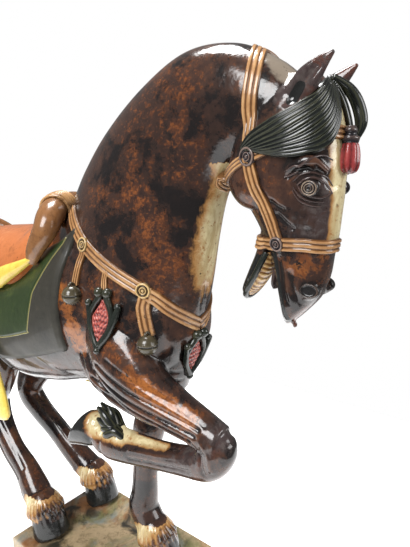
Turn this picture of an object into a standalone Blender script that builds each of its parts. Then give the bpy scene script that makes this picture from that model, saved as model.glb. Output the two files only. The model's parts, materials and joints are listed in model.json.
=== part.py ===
"""Glazed terracotta saddle horse pacing on a low slab base.

The horse is one hollow-cast firing: body, saddle, cloth, tack, bells, pendants,
forelock and tail are one piece. The slab it stands on is the second piece.
+X is the way the horse faces, +Y its left side, +Z up, and the origin is the
centre of the slab's underside. The figure's pose and proportions are shares of
its own height, so a figure of another height keeps the same form.
"""
import math

import bmesh
import bpy
import numpy as np
from mathutils import Vector
from mathutils.bvhtree import BVHTree

# Driving dimensions, in metres
FIGURE_HEIGHT = 0.482        # from the soles to the top of the arched neck
BASE_THICKNESS = 0.018       # slab under the hooves
BASE_MARGIN_REAR = 0.0085    # slab left free behind the hind hooves
BASE_MARGIN_FRONT = 0.0195   # slab left free before the standing forehoof
BASE_MARGIN_SIDE = 0.0013    # slab left free beside the outermost hoof
BASE_CHAMFER = 0.0022        # worn upper edge of the slab
SEAT_GAP = 0.0003            # joint between the soles and the slab
STRAP_WIDTH = 0.0120         # breast strap
BRIDLE_WIDTH = 0.0090        # bridle straps
CORD_WIDTH = 0.0055          # cord that a pendant hangs by
STRAP_LIFT = 0.0021          # how far a strap stands out of the body
STRAP_SINK = 0.0030          # how far a strap reaches into the body
CLOTH_LIFT = 0.0042          # how far the saddle cloth stands out of the body
BELL_RADIUS = 0.0082
ROSETTE_RADIUS = 0.0062
ROSETTE_RISE = 0.0036        # how far a rosette stands out of its strap

# The pose was set out on a figure 482 units high; one unit is this long
UNIT = FIGURE_HEIGHT / 482.0
CORE_VOXEL = 1.5 * UNIT      # grain of the clay when the limbs are joined
TRIM_VOXEL = 1.0 * UNIT      # grain when the tack and saddle are fused on
HORSE_TRIANGLES = 9500
GRAIN = 1e-6                 # points are kept to a micrometre

# Soles: centre x, centre y, and the sole radius that all three share
HOOF_RADIUS = 20.0
HIND_FAR = (-68.0, 40.5)
HIND_NEAR = (-69.0, -31.0)
FORE_FAR = (58.0, 16.0)


def sweep_values(values, count):
    """Spread a short table over count rows with a smooth Catmull-Rom curve."""
    table = np.asarray(values, dtype=float)
    last = len(table) - 1
    t = np.linspace(0.0, last, count)
    i = np.minimum(t.astype(int), last - 1)
    f = (t - i)[:, None]
    padded = np.vstack([2 * table[0] - table[1], table, 2 * table[-1] - table[-2]])
    a, b, c, d = padded[i], padded[i + 1], padded[i + 2], padded[i + 3]
    return 0.5 * (2 * b + (c - a) * f + (2 * a - 5 * b + 4 * c - d) * f ** 2
                  + (3 * b - a - 3 * c + d) * f ** 3)


def unit_rows(vectors):
    """Scale every row to length one."""
    return vectors / np.maximum(np.linalg.norm(vectors, axis=-1, keepdims=True), 1e-12)


def closed_mesh(rings):
    """Skin a stack of rings and close both ends with a fan about their centres."""
    rings = np.asarray(rings)
    rows, cols, _ = rings.shape
    points = np.vstack([rings.reshape(-1, 3), rings[0].mean(axis=0), rings[-1].mean(axis=0)])
    faces = []
    for r in range(rows - 1):
        for c in range(cols):
            n = (c + 1) % cols
            faces.append((r * cols + c, r * cols + n, (r + 1) * cols + n, (r + 1) * cols + c))
    first, final = rows * cols, rows * cols + 1
    for c in range(cols):
        n = (c + 1) % cols
        faces.append((first, n, c))
        faces.append((final, (rows - 1) * cols + c, (rows - 1) * cols + n))
    return points, faces


def ring_angles(sides):
    """Angles of one ring's corners."""
    return np.linspace(0.0, 2 * math.pi, sides, endpoint=False)


def limb(stations, rings=24, sides=20, squareness=1.0, broad=(0.0, 1.0, 0.0)):
    """Tube through stations of (x, y, z, half depth, half width).

    Width lies along the broad direction, as far as the tube's run lets it, and
    depth is square to both.
    """
    table = sweep_values(stations, rings)
    centre = table[:, :3]
    run = unit_rows(np.gradient(centre, axis=0))
    broad = np.array(broad)
    side = unit_rows(broad - run * (run @ broad)[:, None])
    depth = np.cross(side, run)
    angle = ring_angles(sides)
    c, s = np.cos(angle), np.sin(angle)
    c = np.sign(c) * np.abs(c) ** squareness
    s = np.sign(s) * np.abs(s) ** squareness
    ring = (centre[:, None]
            + depth[:, None] * (table[:, 3, None, None] * c[None, :, None])
            + side[:, None] * (table[:, 4, None, None] * s[None, :, None]))
    return closed_mesh(ring)


def profile_body(stations, rings=30, sides=24, squareness=0.9, y=0.0):
    """Body between two edge lines of the profile: (x1, z1, x2, z2, half width)."""
    table = sweep_values(stations, rings)
    one = np.stack([table[:, 0], 0 * table[:, 0] + y, table[:, 1]], axis=1)
    two = np.stack([table[:, 2], 0 * table[:, 0] + y, table[:, 3]], axis=1)
    middle, reach = (one + two) / 2, (one - two) / 2
    angle = ring_angles(sides)
    c, s = np.cos(angle), np.sin(angle)
    c = np.sign(c) * np.abs(c) ** squareness
    s = np.sign(s) * np.abs(s) ** squareness
    ring = middle[:, None] + reach[:, None] * c[None, :, None]
    ring = ring + np.array([0.0, 1.0, 0.0]) * (table[:, 4, None, None] * s[None, :, None])
    return closed_mesh(ring)


def ball(centre, radii, rings=9, sides=12):
    """Ellipsoid turned about Z."""
    latitude = np.linspace(-math.pi / 2, math.pi / 2, rings + 2)[1:-1]
    angle = ring_angles(sides)
    x = np.cos(latitude)[:, None] * np.cos(angle)
    y = np.cos(latitude)[:, None] * np.sin(angle)
    z = np.sin(latitude)[:, None] * np.ones(sides)
    return closed_mesh(np.array(centre) + np.stack([x, y, z], axis=-1) * np.array(radii))


def add_object(name, shells, material=None):
    """Put closed shells, in figure units from the soles, into one object in metres."""
    mesh = bpy.data.meshes.new(name)
    body = bmesh.new()
    for points, faces in shells:
        metres = np.asarray(points) * UNIT + np.array([0.0, 0.0, BASE_THICKNESS + SEAT_GAP])
        metres = np.round(metres / GRAIN) * GRAIN
        corners = [body.verts.new(p) for p in metres]
        made = [body.faces.new([corners[i] for i in face]) for face in faces]
        bmesh.ops.recalc_face_normals(body, faces=made)
    body.to_mesh(mesh)
    body.free()
    holder = bpy.data.objects.new(name, mesh)
    bpy.context.scene.collection.objects.link(holder)
    if material:
        mesh.materials.append(material)
    return holder


def settled(holder, name):
    """Turn an object with its modifiers into a plain object and drop the first."""
    graph = bpy.context.evaluated_depsgraph_get()
    mesh = bpy.data.meshes.new_from_object(holder.evaluated_get(graph))
    bpy.data.objects.remove(holder)
    plain = bpy.data.objects.new(name, mesh)
    bpy.context.scene.collection.objects.link(plain)
    return plain


def glaze(name, colour, roughness):
    """Principled material of one glaze."""
    material = bpy.data.materials.new(name)
    material.use_nodes = True
    shader = material.node_tree.nodes["Principled BSDF"]
    shader.inputs["Base Color"].default_value = (*colour, 1.0)
    shader.inputs["Roughness"].default_value = roughness
    return material


def trunk():
    """Barrel, croup and chest as one profile: back line above, belly line below."""
    return profile_body([
        (-250, 270, -250, 260, 6), (-245, 298, -242, 230, 30), (-222, 320, -214, 202, 48),
        (-184, 328, -180, 186, 56), (-140, 322, -138, 176, 57), (-95, 318, -95, 171, 58),
        (-50, 328, -50, 178, 57), (-8, 350, -8, 190, 55), (34, 350, 30, 200, 52),
        (66, 336, 60, 208, 48), (92, 312, 86, 218, 41), (108, 292, 104, 234, 31),
        (117, 270, 116, 258, 8)], rings=34)


def neck():
    """Arched neck: crest line on one side, throat line on the other."""
    return profile_body([
        (-66, 335, 98, 205, 46), (-28, 362, 112, 250, 45), (-2, 398, 124, 300, 40),
        (26, 428, 131, 338, 35), (66, 457, 138, 368, 31), (110, 477, 148, 388, 28),
        (152, 476, 158, 396, 26), (184, 461, 172, 398, 24), (203, 446, 190, 396, 20)],
        rings=30, squareness=0.95)


def head():
    """Skull and upper jaw from the poll down to the upper lip."""
    return profile_body([
        (212, 449, 188, 449, 10), (222, 436, 172, 436, 20), (228, 418, 160, 420, 26),
        (231, 398, 154, 402, 27), (231, 380, 156, 386, 25), (230, 364, 164, 370, 22),
        (229, 350, 174, 354, 19), (227, 337, 182, 338, 16.5), (225, 322, 187, 322, 15),
        (220, 308, 191, 306, 14), (210, 296, 194, 293, 11), (201, 287, 196, 285, 5)],
        rings=34, squareness=0.85)


def cheek(side):
    """Round jaw muscle on one side."""
    return ball((176, side * 15, 388), (21, 11, 24))


def brow(side):
    """Ridge over one eye."""
    return limb([(200, side * 22, 386, 2, 2), (208, side * 26, 392, 4, 4),
                 (219, side * 25, 393, 4.5, 4), (227, side * 18, 386, 3, 3)], rings=9, sides=8)


def eye(side):
    """Domed eyeball between its lids."""
    return ball((220, side * 22.5, 379.5), (7, 5, 5.4), rings=8, sides=12)


def nostril(side):
    """Flare round one nostril."""
    return ball((213, side * 11.5, 308), (8, 5.5, 7.5), rings=8, sides=12)


def ear(side):
    """Leaf-shaped ear, pointing up and forward."""
    return limb([(200, side * 14, 426, 7, 5), (206, side * 16, 434, 9.5, 6),
                 (213, side * 18, 442, 8.5, 5), (221, side * 19, 449, 5, 3.4),
                 (229, side * 19, 455, 1.2, 1.2)], rings=12, sides=12)


def lower_jaw():
    """Dropped lower jaw, leaving the mouth open."""
    return limb([(184, 0, 352, 8, 12), (177, 0, 334, 7.5, 11), (170, 0, 320, 6.5, 10.5),
                 (163, 0, 307, 5, 9), (161, 0, 302, 2, 5)], rings=14, sides=14)


def tongue():
    """Short tongue behind the upper lip."""
    return limb([(186, 0, 334, 3, 7), (181, 0, 318, 2.6, 6), (179, 0, 308, 1.2, 3)],
                rings=7, sides=8)


def raised_foreleg():
    """Near foreleg folded up: shoulder, forearm, knee, cannon and hoof."""
    arm = limb([(40, -30, 268, 30, 20), (62, -36, 240, 31, 21), (88, -36, 219, 27, 19),
                (116, -33, 207, 20, 16), (142, -30, 198, 16, 14), (159, -29, 192, 13.5, 14)])
    elbow = limb([(24, -34, 238, 18, 14), (40, -37, 218, 16, 13), (66, -36, 205, 12, 11),
                  (100, -34, 196, 9, 8)], rings=12, sides=12)
    shin = limb([(158, -29, 195, 13, 12), (158, -29, 184, 14, 14), (147, -29, 171, 14, 13),
                 (122, -30, 164, 12.5, 11), (90, -32, 159, 13, 11), (62, -34, 156, 15, 13),
                 (44, -35, 155, 15.5, 14), (28, -36, 157, 12, 12)], rings=26)
    hoof = profile_body([(34, 170, 24, 144, 12), (29, 176, 18, 142, 14.5), (22, 177, 6, 139, 16),
                         (14, 175, -7, 135, 16.5)], rings=5, sides=18, squareness=1.0, y=-36)
    tuft = limb([(58, -34, 164, 8, 8), (46, -34, 174, 7, 8), (37, -34, 181, 6, 7),
                 (31, -34, 185, 2, 4)], rings=7, sides=8)
    return [arm, elbow, shin, hoof, tuft]


def standing_foreleg():
    """Far foreleg, straight under the chest."""
    x, y = FORE_FAR
    return [limb([(66, 34, 262, 34, 18), (58, 34, 226, 28, 18), (46, 30, 190, 20, 16),
                  (38, 24, 160, 16, 15), (36, 20, 140, 17, 16), (35, 18, 124, 15, 14),
                  (34, 16, 98, 13.5, 12), (32, 16, 70, 14.5, 13), (30, 16, 52, 16.5, 15),
                  (37, 16, 40, 16, 15), (x - 13, y, 30, 15, 15)], rings=34)] + hoof_on((x, y))


def hind_leg(side, sole):
    """Hind leg gathered under the body, with a sharp hock."""
    x, y = sole
    foot = abs(y)
    spread = [30, 37, 35, 29, 24, 23, 26, 0.3 * foot + 19, 0.6 * foot + 9, 0.9 * foot + 1, foot]
    run = [(-184, 262, 50, 24), (-158, 232, 44, 22), (-148, 200, 36, 20), (-162, 166, 27, 16),
           (-181, 134, 21, 14), (-183, 114, 20, 14), (-167, 94, 17.5, 12.5), (-143, 73, 16, 12),
           (-119, 56, 16, 13), (-102, 42, 16.5, 15), (x - 14, 30, 15.5, 15.5)]
    stations = [(px, side * lateral, pz, depth, width)
                for lateral, (px, pz, depth, width) in zip(spread, run)]
    return [limb(stations, rings=38)] + hoof_on(sole)


def hoof_on(sole):
    """Hoof with its flat sole on the slab, and the shaggy collar above it."""
    x, y = sole
    wide = HOOF_RADIUS
    wall = limb([(x - 9, y, 31, 0.86 * wide, 0.86 * wide), (x - 4, y, 15, 0.93 * wide, 0.93 * wide),
                 (x, y, 0, wide, wide)], rings=4, sides=20)
    flat = wall[0].copy()
    flat[flat[:, 2] < 2.0, 2] = 0.0
    collar = limb([(x - 20, y, 42, 0.6 * wide, 0.6 * wide), (x - 17, y, 37, 0.8 * wide, 0.78 * wide),
                   (x - 13, y, 30, 0.98 * wide, 0.93 * wide), (x - 10, y, 23, 1.08 * wide, wide),
                   (x - 9, y, 19, 0.7 * wide, 0.7 * wide)], rings=9, sides=20)
    return [(flat, wall[1]), collar]


def tail():
    """Short bound tail, tied up and arched off the croup."""
    return [limb([(-234, 0, 298, 11, 11), (-250, 0, 306, 11, 11), (-264, 0, 298, 12, 12),
                  (-270, 0, 276, 14, 13), (-270, 0, 248, 13, 12), (-267, 0, 224, 5, 5)],
                 rings=18, sides=14),
            limb([(-257, 0, 314, 9, 11), (-266, 0, 304, 15, 15), (-272, 0, 291, 10, 12)],
                 rings=6, sides=12)]


def fired(holder, name, grain, softening=0):
    """Fuse overlapping shells into one skin of an even grain."""
    joined = holder.modifiers.new("joined", "REMESH")
    joined.mode = "VOXEL"
    joined.voxel_size = grain
    if softening:
        soft = holder.modifiers.new("soft", "SMOOTH")
        soft.factor = 0.5
        soft.iterations = softening
    return settled(holder, name)


def thinned(holder, name, triangles):
    """Cut the skin down to a number of triangles, keeping its edges."""
    faces = sum(len(face.vertices) - 2 for face in holder.data.polygons)
    thin = holder.modifiers.new("thin", "DECIMATE")
    thin.ratio = min(1.0, triangles / faces)
    return settled(holder, name)


def clay_core():
    """Join body, neck, head and legs in the clay and smooth the joints."""
    shells = [trunk(), neck(), head(), lower_jaw(), tongue()]
    for side in (-1, 1):
        shells += [cheek(side), brow(side), eye(side), nostril(side), ear(side)]
    shells += raised_foreleg() + standing_foreleg() + tail()
    shells += hind_leg(1, HIND_FAR) + hind_leg(-1, HIND_NEAR)
    return fired(add_object("clay", shells), "clay_core", CORE_VOXEL, softening=5)


def fill_voids(holder):
    """Keep the outer surface alone, so that no void is sealed inside the clay."""
    body = bmesh.new()
    body.from_mesh(holder.data)
    bmesh.ops.triangulate(body, faces=body.faces)
    shells = []
    left = set(body.verts)
    while left:
        shell, edge = set(), [next(iter(left))]
        while edge:
            corner = edge.pop()
            if corner in shell:
                continue
            shell.add(corner)
            edge.extend(e.other_vert(corner) for e in corner.link_edges)
        shells.append(shell)
        left -= shell
    outer = max(shells, key=len)
    spare = [v for v in body.verts if v not in outer]
    bmesh.ops.delete(body, geom=spare, context="VERTS")
    body.to_mesh(holder.data)
    body.free()


class Skin:
    """The core's surface, for laying tack on it, in figure units from the soles."""

    def __init__(self, core):
        lift = np.array([0.0, 0.0, BASE_THICKNESS + SEAT_GAP])
        points = [Vector((np.array(v.co) - lift) / UNIT) for v in core.data.vertices]
        faces = [tuple(p.vertices) for p in core.data.polygons]
        self.tree = BVHTree.FromPolygons(points, faces)

    def nearest(self, points):
        """Closest surface point and outward normal for every row."""
        found = [self.tree.find_nearest(Vector(p)) for p in points]
        return np.array([f[0] for f in found]), np.array([f[1] for f in found])

    def flank(self, x, z, side, reach=90.0):
        """Surface y where a line along Y from outside meets the flank."""
        hit = self.tree.ray_cast(Vector((x, side * reach, z)), Vector((0, -side, 0)))[0]
        return hit.y if hit else None


def strap(skin, route, width, lift=STRAP_LIFT, sink=STRAP_SINK, count=12):
    """Flat strap laid on the skin along a route of points."""
    centre, normal = skin.nearest(sweep_values(route, count))
    run = unit_rows(np.gradient(centre, axis=0))
    normal = unit_rows(normal - run * np.sum(normal * run, axis=1, keepdims=True))
    for _ in range(3):
        normal[1:-1] = unit_rows(normal[:-2] + 2 * normal[1:-1] + normal[2:])
    across = np.cross(run, normal)
    half, up, down = width / UNIT / 2, lift / UNIT, sink / UNIT
    top = []
    for share, rise in ((-1.0, 0.75), (0.0, 1.0), (1.0, 0.75)):
        edge, _ = skin.nearest(centre + across * half * share)
        top.append(edge + normal * up * rise)
    low = [top[2] - normal * (up + down), top[0] - normal * (up + down)]
    return closed_mesh(np.stack(top + low, axis=1))


def rosette(skin, place, radius=ROSETTE_RADIUS, rise=ROSETTE_RISE):
    """Round stud with a raised rim and a boss, set on the skin."""
    centre, normal = (v[0] for v in skin.nearest([place]))
    aside = unit_rows(np.cross(normal, [0.0, 0.3, 1.0]))
    over = np.cross(normal, aside)
    angle = ring_angles(8)
    wide, high = radius / UNIT, rise / UNIT
    rows = []
    for r, h in ((1.0, -1.0), (1.0, 0.9), (0.62, 0.75), (0.4, 1.25)):
        spoke = aside * np.cos(angle)[:, None] + over * np.sin(angle)[:, None]
        rows.append(centre + spoke * wide * r + normal * high * h)
    return closed_mesh(rows)


def bell(skin, place):
    """Round harness bell, two thirds out of the body."""
    centre, normal = (v[0] for v in skin.nearest([place]))
    wide = BELL_RADIUS / UNIT
    return ball(centre + normal * wide * 0.45, (wide, wide, wide), rings=4, sides=8)


def pendant(skin, top, foot):
    """Leaf pendant: knotted head, carved lozenge and a curled lobe on each side."""
    start, normal = (v[0] for v in skin.nearest([top]))
    end = skin.nearest([foot])[0][0]
    run = end - start
    across = unit_rows(np.cross(normal, run))
    pieces = []

    def slab(outline, low, high):
        edge = [start + run * a + across * b for a, b in outline]
        rows = [np.array([p + normal * h for p in edge]) for h in (low, high)]
        pieces.append(closed_mesh(rows))

    slab([(0.0, 4), (0.20, 5), (0.34, 8), (0.55, 10), (0.80, 7), (1.0, 0), (0.80, -7),
          (0.55, -10), (0.34, -8), (0.20, -5), (0.0, -4)], -5, 3.0)
    slab([(0.22, 0), (0.36, 4), (0.54, 7), (0.72, 4.5), (0.88, 0), (0.72, -4.5), (0.54, -7),
          (0.36, -4)], 1, 4.6)
    for turn in (-1, 1):
        knob = start + run * 0.08 + across * turn * 4.0 + normal * 2
        pieces.append(ball(knob, (5, 5, 5), rings=4, sides=8))
        curl = [(0.46, 8, 2.4), (0.42, 12, 3), (0.30, 13, 3.4), (0.26, 10.5, 2.4)]
        path = [tuple(start + run * a + across * turn * b + normal * 1.5) + (r, r)
                for a, b, r in curl]
        pieces.append(limb(path, rings=5, sides=5))
    return pieces


def hair(skin):
    """Forelock parted at the crown: ridged locks fanned down each side of the forehead."""
    near_top = [(219, 5, 445), (206, 17, 430), (190, 23, 420), (178, 26, 412), (171, 27, 403)]
    near_low = [(224, 3, 441), (232, 12, 424), (222, 21, 409), (199, 25, 404), (178, 26, 404)]
    far_top = [(217, 5, 447), (213, 18, 436), (208, 23, 424), (208, 25, 412), (214, 25, 402)]
    far_low = [(224, 3, 441), (231, 11, 430), (235, 17, 418), (234, 18, 409), (230, 18, 402)]
    pieces = []
    for side, count, top, low in ((-1, 6, near_top, near_low), (1, 4, far_top, far_low)):
        for share in np.linspace(0, 1, count):
            route = np.array(top) * (1 - share) + np.array(low) * share
            centre, normal = skin.nearest(sweep_values(route * (1, side, 1), 8))
            size = 2.9 * np.sin(np.linspace(0.5, 2.85, 8)) ** 0.6
            lifted = centre + normal * 2.0
            pieces.append(limb(np.column_stack([lifted, size, size]), rings=8, sides=5))
    for out in (0.0, 1.0):
        loose = [(219, 4, 446, 2, 2), (225 + out, 13, 440, 3.4, 3.4), (230 + out, 17, 431, 3.8, 3.8),
                 (233 + out, 17 + out, 419, 3.4, 3.4), (230, 18 + out, 408, 1.6, 1.6)]
        pieces.append(limb(loose, rings=9, sides=7))
    return pieces


def tassel():
    """Forehead ornament: dark knob, collar and a ribbed barrel."""
    rows = []
    angle = ring_angles(12)
    for z, r in ((415.5, 3.0), (413, 4.4), (410, 4.0), (408, 6.0), (405.5, 5.4), (403, 6.0),
                 (397, 6.8), (391, 6.6), (387.5, 4.2)):
        ribbed = r * (1 + 0.07 * (np.arange(12) % 2) * (z < 404))
        rows.append(np.stack([234.5 + ribbed * np.cos(angle) * 0.9, ribbed * np.sin(angle),
                              z + 0 * angle], axis=1))
    return closed_mesh(rows)


def bridle(skin):
    """Crown strap, browband, throatlatch, cheek straps and noseband, with rosettes."""
    pieces = []
    for s in (-1, 1):
        pieces.append(strap(skin, [(160, 0, 480), (161, s * 20, 464), (164, s * 28, 440),
                                   (172, s * 28, 416), (177, s * 28, 398)], BRIDLE_WIDTH))
        pieces.append(strap(skin, [(177, s * 28, 398), (194, s * 28, 404), (212, s * 27, 410),
                                   (228, s * 14, 412), (233, 0, 412)], BRIDLE_WIDTH))
        pieces.append(strap(skin, [(177, s * 28, 398), (182, s * 27, 380), (190, s * 22, 360),
                                   (196, s * 18, 342)], BRIDLE_WIDTH))
        pieces.append(strap(skin, [(177, s * 28, 398), (168, s * 26, 394), (156, s * 22, 386),
                                   (147, s * 12, 380), (144, 0, 378)], BRIDLE_WIDTH * 0.8))
        pieces.append(strap(skin, [(176, 0, 342), (180, s * 12, 341), (194, s * 18, 342),
                                   (212, s * 17, 343), (225, s * 12, 342), (231, 0, 342)],
                            BRIDLE_WIDTH))
        pieces.append(rosette(skin, (177, s * 30, 398)))
        pieces.append(rosette(skin, (195, s * 22, 342)))
    return pieces


def breast_harness(skin):
    """Breast strap with its bells and leaf pendants on both shoulders."""
    pieces = []
    for s in (-1, 1):
        pieces.append(strap(skin, [(-4, s * 40, 362), (8, s * 52, 350), (28, s * 56, 334),
                                   (55, s * 56, 318), (94, s * 46, 299), (114, s * 26, 282),
                                   (122, 0, 268)], STRAP_WIDTH, count=20))
        for place in ((28, s * 58, 334), (95, s * 48, 300)):
            pieces.append(rosette(skin, place))
        pieces.append(strap(skin, [(28, s * 58, 332), (27, s * 60, 314), (26, s * 60, 300)],
                            BRIDLE_WIDTH * 0.8, count=5))
        pieces.append(bell(skin, (26, s * 60, 291)))
        back = 11 * (1 + s)
        fall = 308 - 6 * (1 - s) / 2
        pieces.append(strap(skin, [(97 - back, s * 48, fall), (98 - back, s * 48, 284),
                                   (100 - back, s * 45, 265)], STRAP_WIDTH, count=5))
        pieces.append(bell(skin, (101 - back, s * 47, 258)))
        pieces.append(strap(skin, [(58, s * 58, 314), (60, s * 58, 300)], CORD_WIDTH, count=3))
        pieces += pendant(skin, (60, s * 58, 300), (56, s * 58, 250))
    pieces += pendant(skin, (128, 0, 262), (117, 0, 217))
    return pieces


# Front edge of the saddle cloth, as (height, x): it sweeps forward to a point under the pommel
CLOTH_FRONT = ((232, 3), (239, 7), (253, 5), (279, 3), (301, 6), (315, 9), (329, 11), (345, 16))


def side_cloth(skin, side):
    """Saddle cloth on one flank: a slab that follows the barrel."""
    rows, cols = 9, 13
    grid = np.zeros((rows, cols, 3))
    for i, v in enumerate(np.linspace(0, 1, rows)):
        for j, u in enumerate(np.linspace(0, 1, cols)):
            low = 204 + 31 * max(0.0, (u - 0.45) / 0.55) ** 1.3
            top = float(np.interp(u, (0.0, 0.75, 1.0), (304.0, 312.0, 345.0)))
            z = low + (top - low) * v
            front = float(np.interp(z, *zip(*CLOTH_FRONT)))
            back = -196 - 6 * v
            x = back + (front - back) * u
            grid[i, j] = (x, skin.flank(x, z, side), z)
    out = grid + np.array([0.0, side * CLOTH_LIFT / UNIT, 0.0])
    into = grid - np.array([0.0, side * 5.0, 0.0])
    points = np.vstack([out.reshape(-1, 3), into.reshape(-1, 3)])
    faces = []
    for i in range(rows - 1):
        for j in range(cols - 1):
            a = i * cols + j
            faces.append((a, a + 1, a + cols + 1, a + cols))
            b = a + rows * cols
            faces.append((b, b + cols, b + cols + 1, b + 1))
    index = np.arange(rows * cols).reshape(rows, cols)
    rim = [*index[0, :-1], *index[:-1, -1], *index[-1, :0:-1], *index[:0:-1, 0]]
    for k, a in enumerate(rim):
        b = rim[(k + 1) % len(rim)]
        faces.append((a, a + rows * cols, b + rows * cols, b))
    return points, faces


def saddle():
    """Padded seat between a high pommel roll and a low cantle roll."""
    seat = limb([(-206, 0, 290, 44, 44), (-190, 0, 290, 42, 48), (-158, 0, 290, 46, 53),
                 (-115, 0, 291, 48, 56), (-72, 0, 296, 47, 56), (-48, 0, 302, 50, 52),
                 (-26, 0, 308, 44, 46)], rings=10, sides=18)
    half_pommel = [(-33, -54, 313, 5, 6), (-26, -54, 325, 7.5, 8.5), (-16, -50, 341, 10, 11.5),
                   (-19, -41, 353, 12, 12.5), (-28, -27, 360, 12, 12), (-37, -11, 362, 11.5, 11.5)]
    half_cantle = [(-188, -52, 290, 8, 8), (-196, -46, 305, 9, 9), (-206, -30, 318, 10, 10),
                   (-212, -14, 330, 10, 10)]
    pieces = [seat]
    for half, apex, rings in ((half_pommel, (-41, 0, 363, 11.5, 11.5), 19),
                              (half_cantle, (-213, 0, 334, 10, 10), 13)):
        mirrored = [(x, -y, z, deep, wide) for x, y, z, deep, wide in reversed(half)]
        pieces.append(limb(half + [apex] + mirrored, rings=rings, sides=10,
                           broad=(1.0, 0.0, 0.0)))
    return pieces


def yellow_cover():
    """Folded cover under the seat, with an end hanging down each side."""
    pieces = []
    for s in (-1, 1):
        pieces.append(limb([(-26, s * 56, 317, 2, 3), (-60, s * 60, 302, 7, 6),
                            (-104, s * 61, 286, 11, 6), (-150, s * 58, 290, 8, 6),
                            (-182, s * 52, 300, 3, 4)], rings=9, sides=8))
        pieces.append(limb([(-112, s * 60, 292, 12, 5), (-112, s * 64, 250, 13, 4),
                            (-110, s * 63, 205, 14, 4), (-106, s * 60, 165, 17, 5),
                            (-104, s * 59, 145, 17, 5), (-103, s * 58, 138, 10, 3)],
                           rings=9, sides=8))
    return pieces


def tendons():
    """Raised cords of muscle along the folded foreleg and the hind cannons."""
    cords = [[(48, -52, 232, 2.6, 2.6), (80, -52, 208, 3, 3), (120, -47, 194, 2.6, 2.6),
              (148, -43, 190, 1.5, 1.5)],
             [(58, -54, 246, 2.6, 2.6), (92, -53, 222, 3, 3), (128, -47, 204, 2.4, 2.4),
              (150, -43, 197, 1.4, 1.4)],
             [(140, -41, 168, 1.6, 1.6), (104, -42, 158, 2.8, 2.6), (72, -44, 151, 2, 2)]]
    return [limb(cord, rings=8, sides=6) for cord in cords]


def build_horse():
    """Lay the tack, saddle and hair on the clay core and fuse them into one piece."""
    core = clay_core()
    skin = Skin(core)
    shells = saddle() + yellow_cover() + bridle(skin) + breast_harness(skin)
    shells += [side_cloth(skin, -1), side_cloth(skin, 1)]
    shells += hair(skin) + [tassel()] + tendons()
    trim = add_object("trim", shells)
    whole = bmesh.new()
    whole.from_mesh(core.data)
    whole.from_mesh(trim.data)
    whole.to_mesh(core.data)
    whole.free()
    bpy.data.objects.remove(trim)
    fused = fired(core, "fused", TRIM_VOXEL)
    fill_voids(fused)
    horse = thinned(fused, "horse", HORSE_TRIANGLES)
    horse.data.materials.clear()
    horse.data.materials.append(glaze("brown_glaze", (0.085, 0.035, 0.018), 0.22))
    horse.data.shade_smooth()
    horse.data.set_sharp_from_angle(angle=math.radians(38))
    return horse


def build_base():
    """Low slab under the three standing hooves, with a worn upper edge."""
    rear = (HIND_NEAR[0] - HOOF_RADIUS) * UNIT - BASE_MARGIN_REAR
    front = (FORE_FAR[0] + HOOF_RADIUS) * UNIT + BASE_MARGIN_FRONT
    half = (HIND_FAR[1] + HOOF_RADIUS) * UNIT + BASE_MARGIN_SIDE
    body = bmesh.new()
    corners = [body.verts.new((x, y, 0.0)) for x, y in
               ((rear, -half), (front, -half), (front, half), (rear, half))]
    foot = body.faces.new(corners)
    raised = bmesh.ops.extrude_face_region(body, geom=[foot])["geom"]
    lifted = [v for v in raised if isinstance(v, bmesh.types.BMVert)]
    bmesh.ops.translate(body, verts=lifted, vec=(0, 0, BASE_THICKNESS))
    rim = [e for e in body.edges if sum(v.co.z for v in e.verts) > BASE_THICKNESS]
    bmesh.ops.bevel(body, geom=rim, offset=BASE_CHAMFER, segments=3, affect="EDGES", profile=0.5)
    bmesh.ops.recalc_face_normals(body, faces=body.faces)
    mesh = bpy.data.meshes.new("base")
    body.to_mesh(mesh)
    body.free()
    slab = bpy.data.objects.new("base", mesh)
    bpy.context.scene.collection.objects.link(slab)
    mesh.materials.append(glaze("mottled_base_glaze", (0.26, 0.20, 0.12), 0.35))
    return slab


def main():
    for old in list(bpy.data.objects):
        bpy.data.objects.remove(old)
    build_base()
    build_horse()


main()
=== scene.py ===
# %% [markdown]
# # A glazed terracotta horse on its slab
#
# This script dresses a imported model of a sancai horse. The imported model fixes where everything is. The
# pieces below give it its carving, its tack and its glazes.
#
# Lengths of the figure are written in millimetres from the soles, with +X to the front of the horse, +Y
# to its left and +Z up. `metres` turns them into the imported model's frame.

import json
import math

import bmesh
import bpy
import numpy as np
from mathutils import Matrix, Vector
from mathutils.bvhtree import BVHTree

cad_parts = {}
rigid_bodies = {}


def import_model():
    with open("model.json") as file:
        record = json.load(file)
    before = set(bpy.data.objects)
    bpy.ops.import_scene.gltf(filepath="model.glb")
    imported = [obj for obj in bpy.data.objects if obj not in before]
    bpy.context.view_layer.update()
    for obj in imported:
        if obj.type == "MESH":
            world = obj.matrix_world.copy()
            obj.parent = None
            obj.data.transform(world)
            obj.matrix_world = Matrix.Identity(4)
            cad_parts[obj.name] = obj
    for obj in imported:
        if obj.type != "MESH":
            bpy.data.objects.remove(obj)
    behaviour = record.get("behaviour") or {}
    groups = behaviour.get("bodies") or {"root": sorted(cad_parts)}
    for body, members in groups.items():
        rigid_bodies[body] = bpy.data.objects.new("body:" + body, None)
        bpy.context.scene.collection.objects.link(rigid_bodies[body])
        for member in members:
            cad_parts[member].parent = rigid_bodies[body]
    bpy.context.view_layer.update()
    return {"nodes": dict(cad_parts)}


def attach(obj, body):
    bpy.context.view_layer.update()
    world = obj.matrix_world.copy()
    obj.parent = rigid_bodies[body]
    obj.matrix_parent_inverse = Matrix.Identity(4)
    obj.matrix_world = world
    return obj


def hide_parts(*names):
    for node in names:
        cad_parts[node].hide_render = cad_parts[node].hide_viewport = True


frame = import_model()
SOLE_HEIGHT = 18.3           # the soles stand on the slab, with 0.3 mm of glaze between
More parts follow.
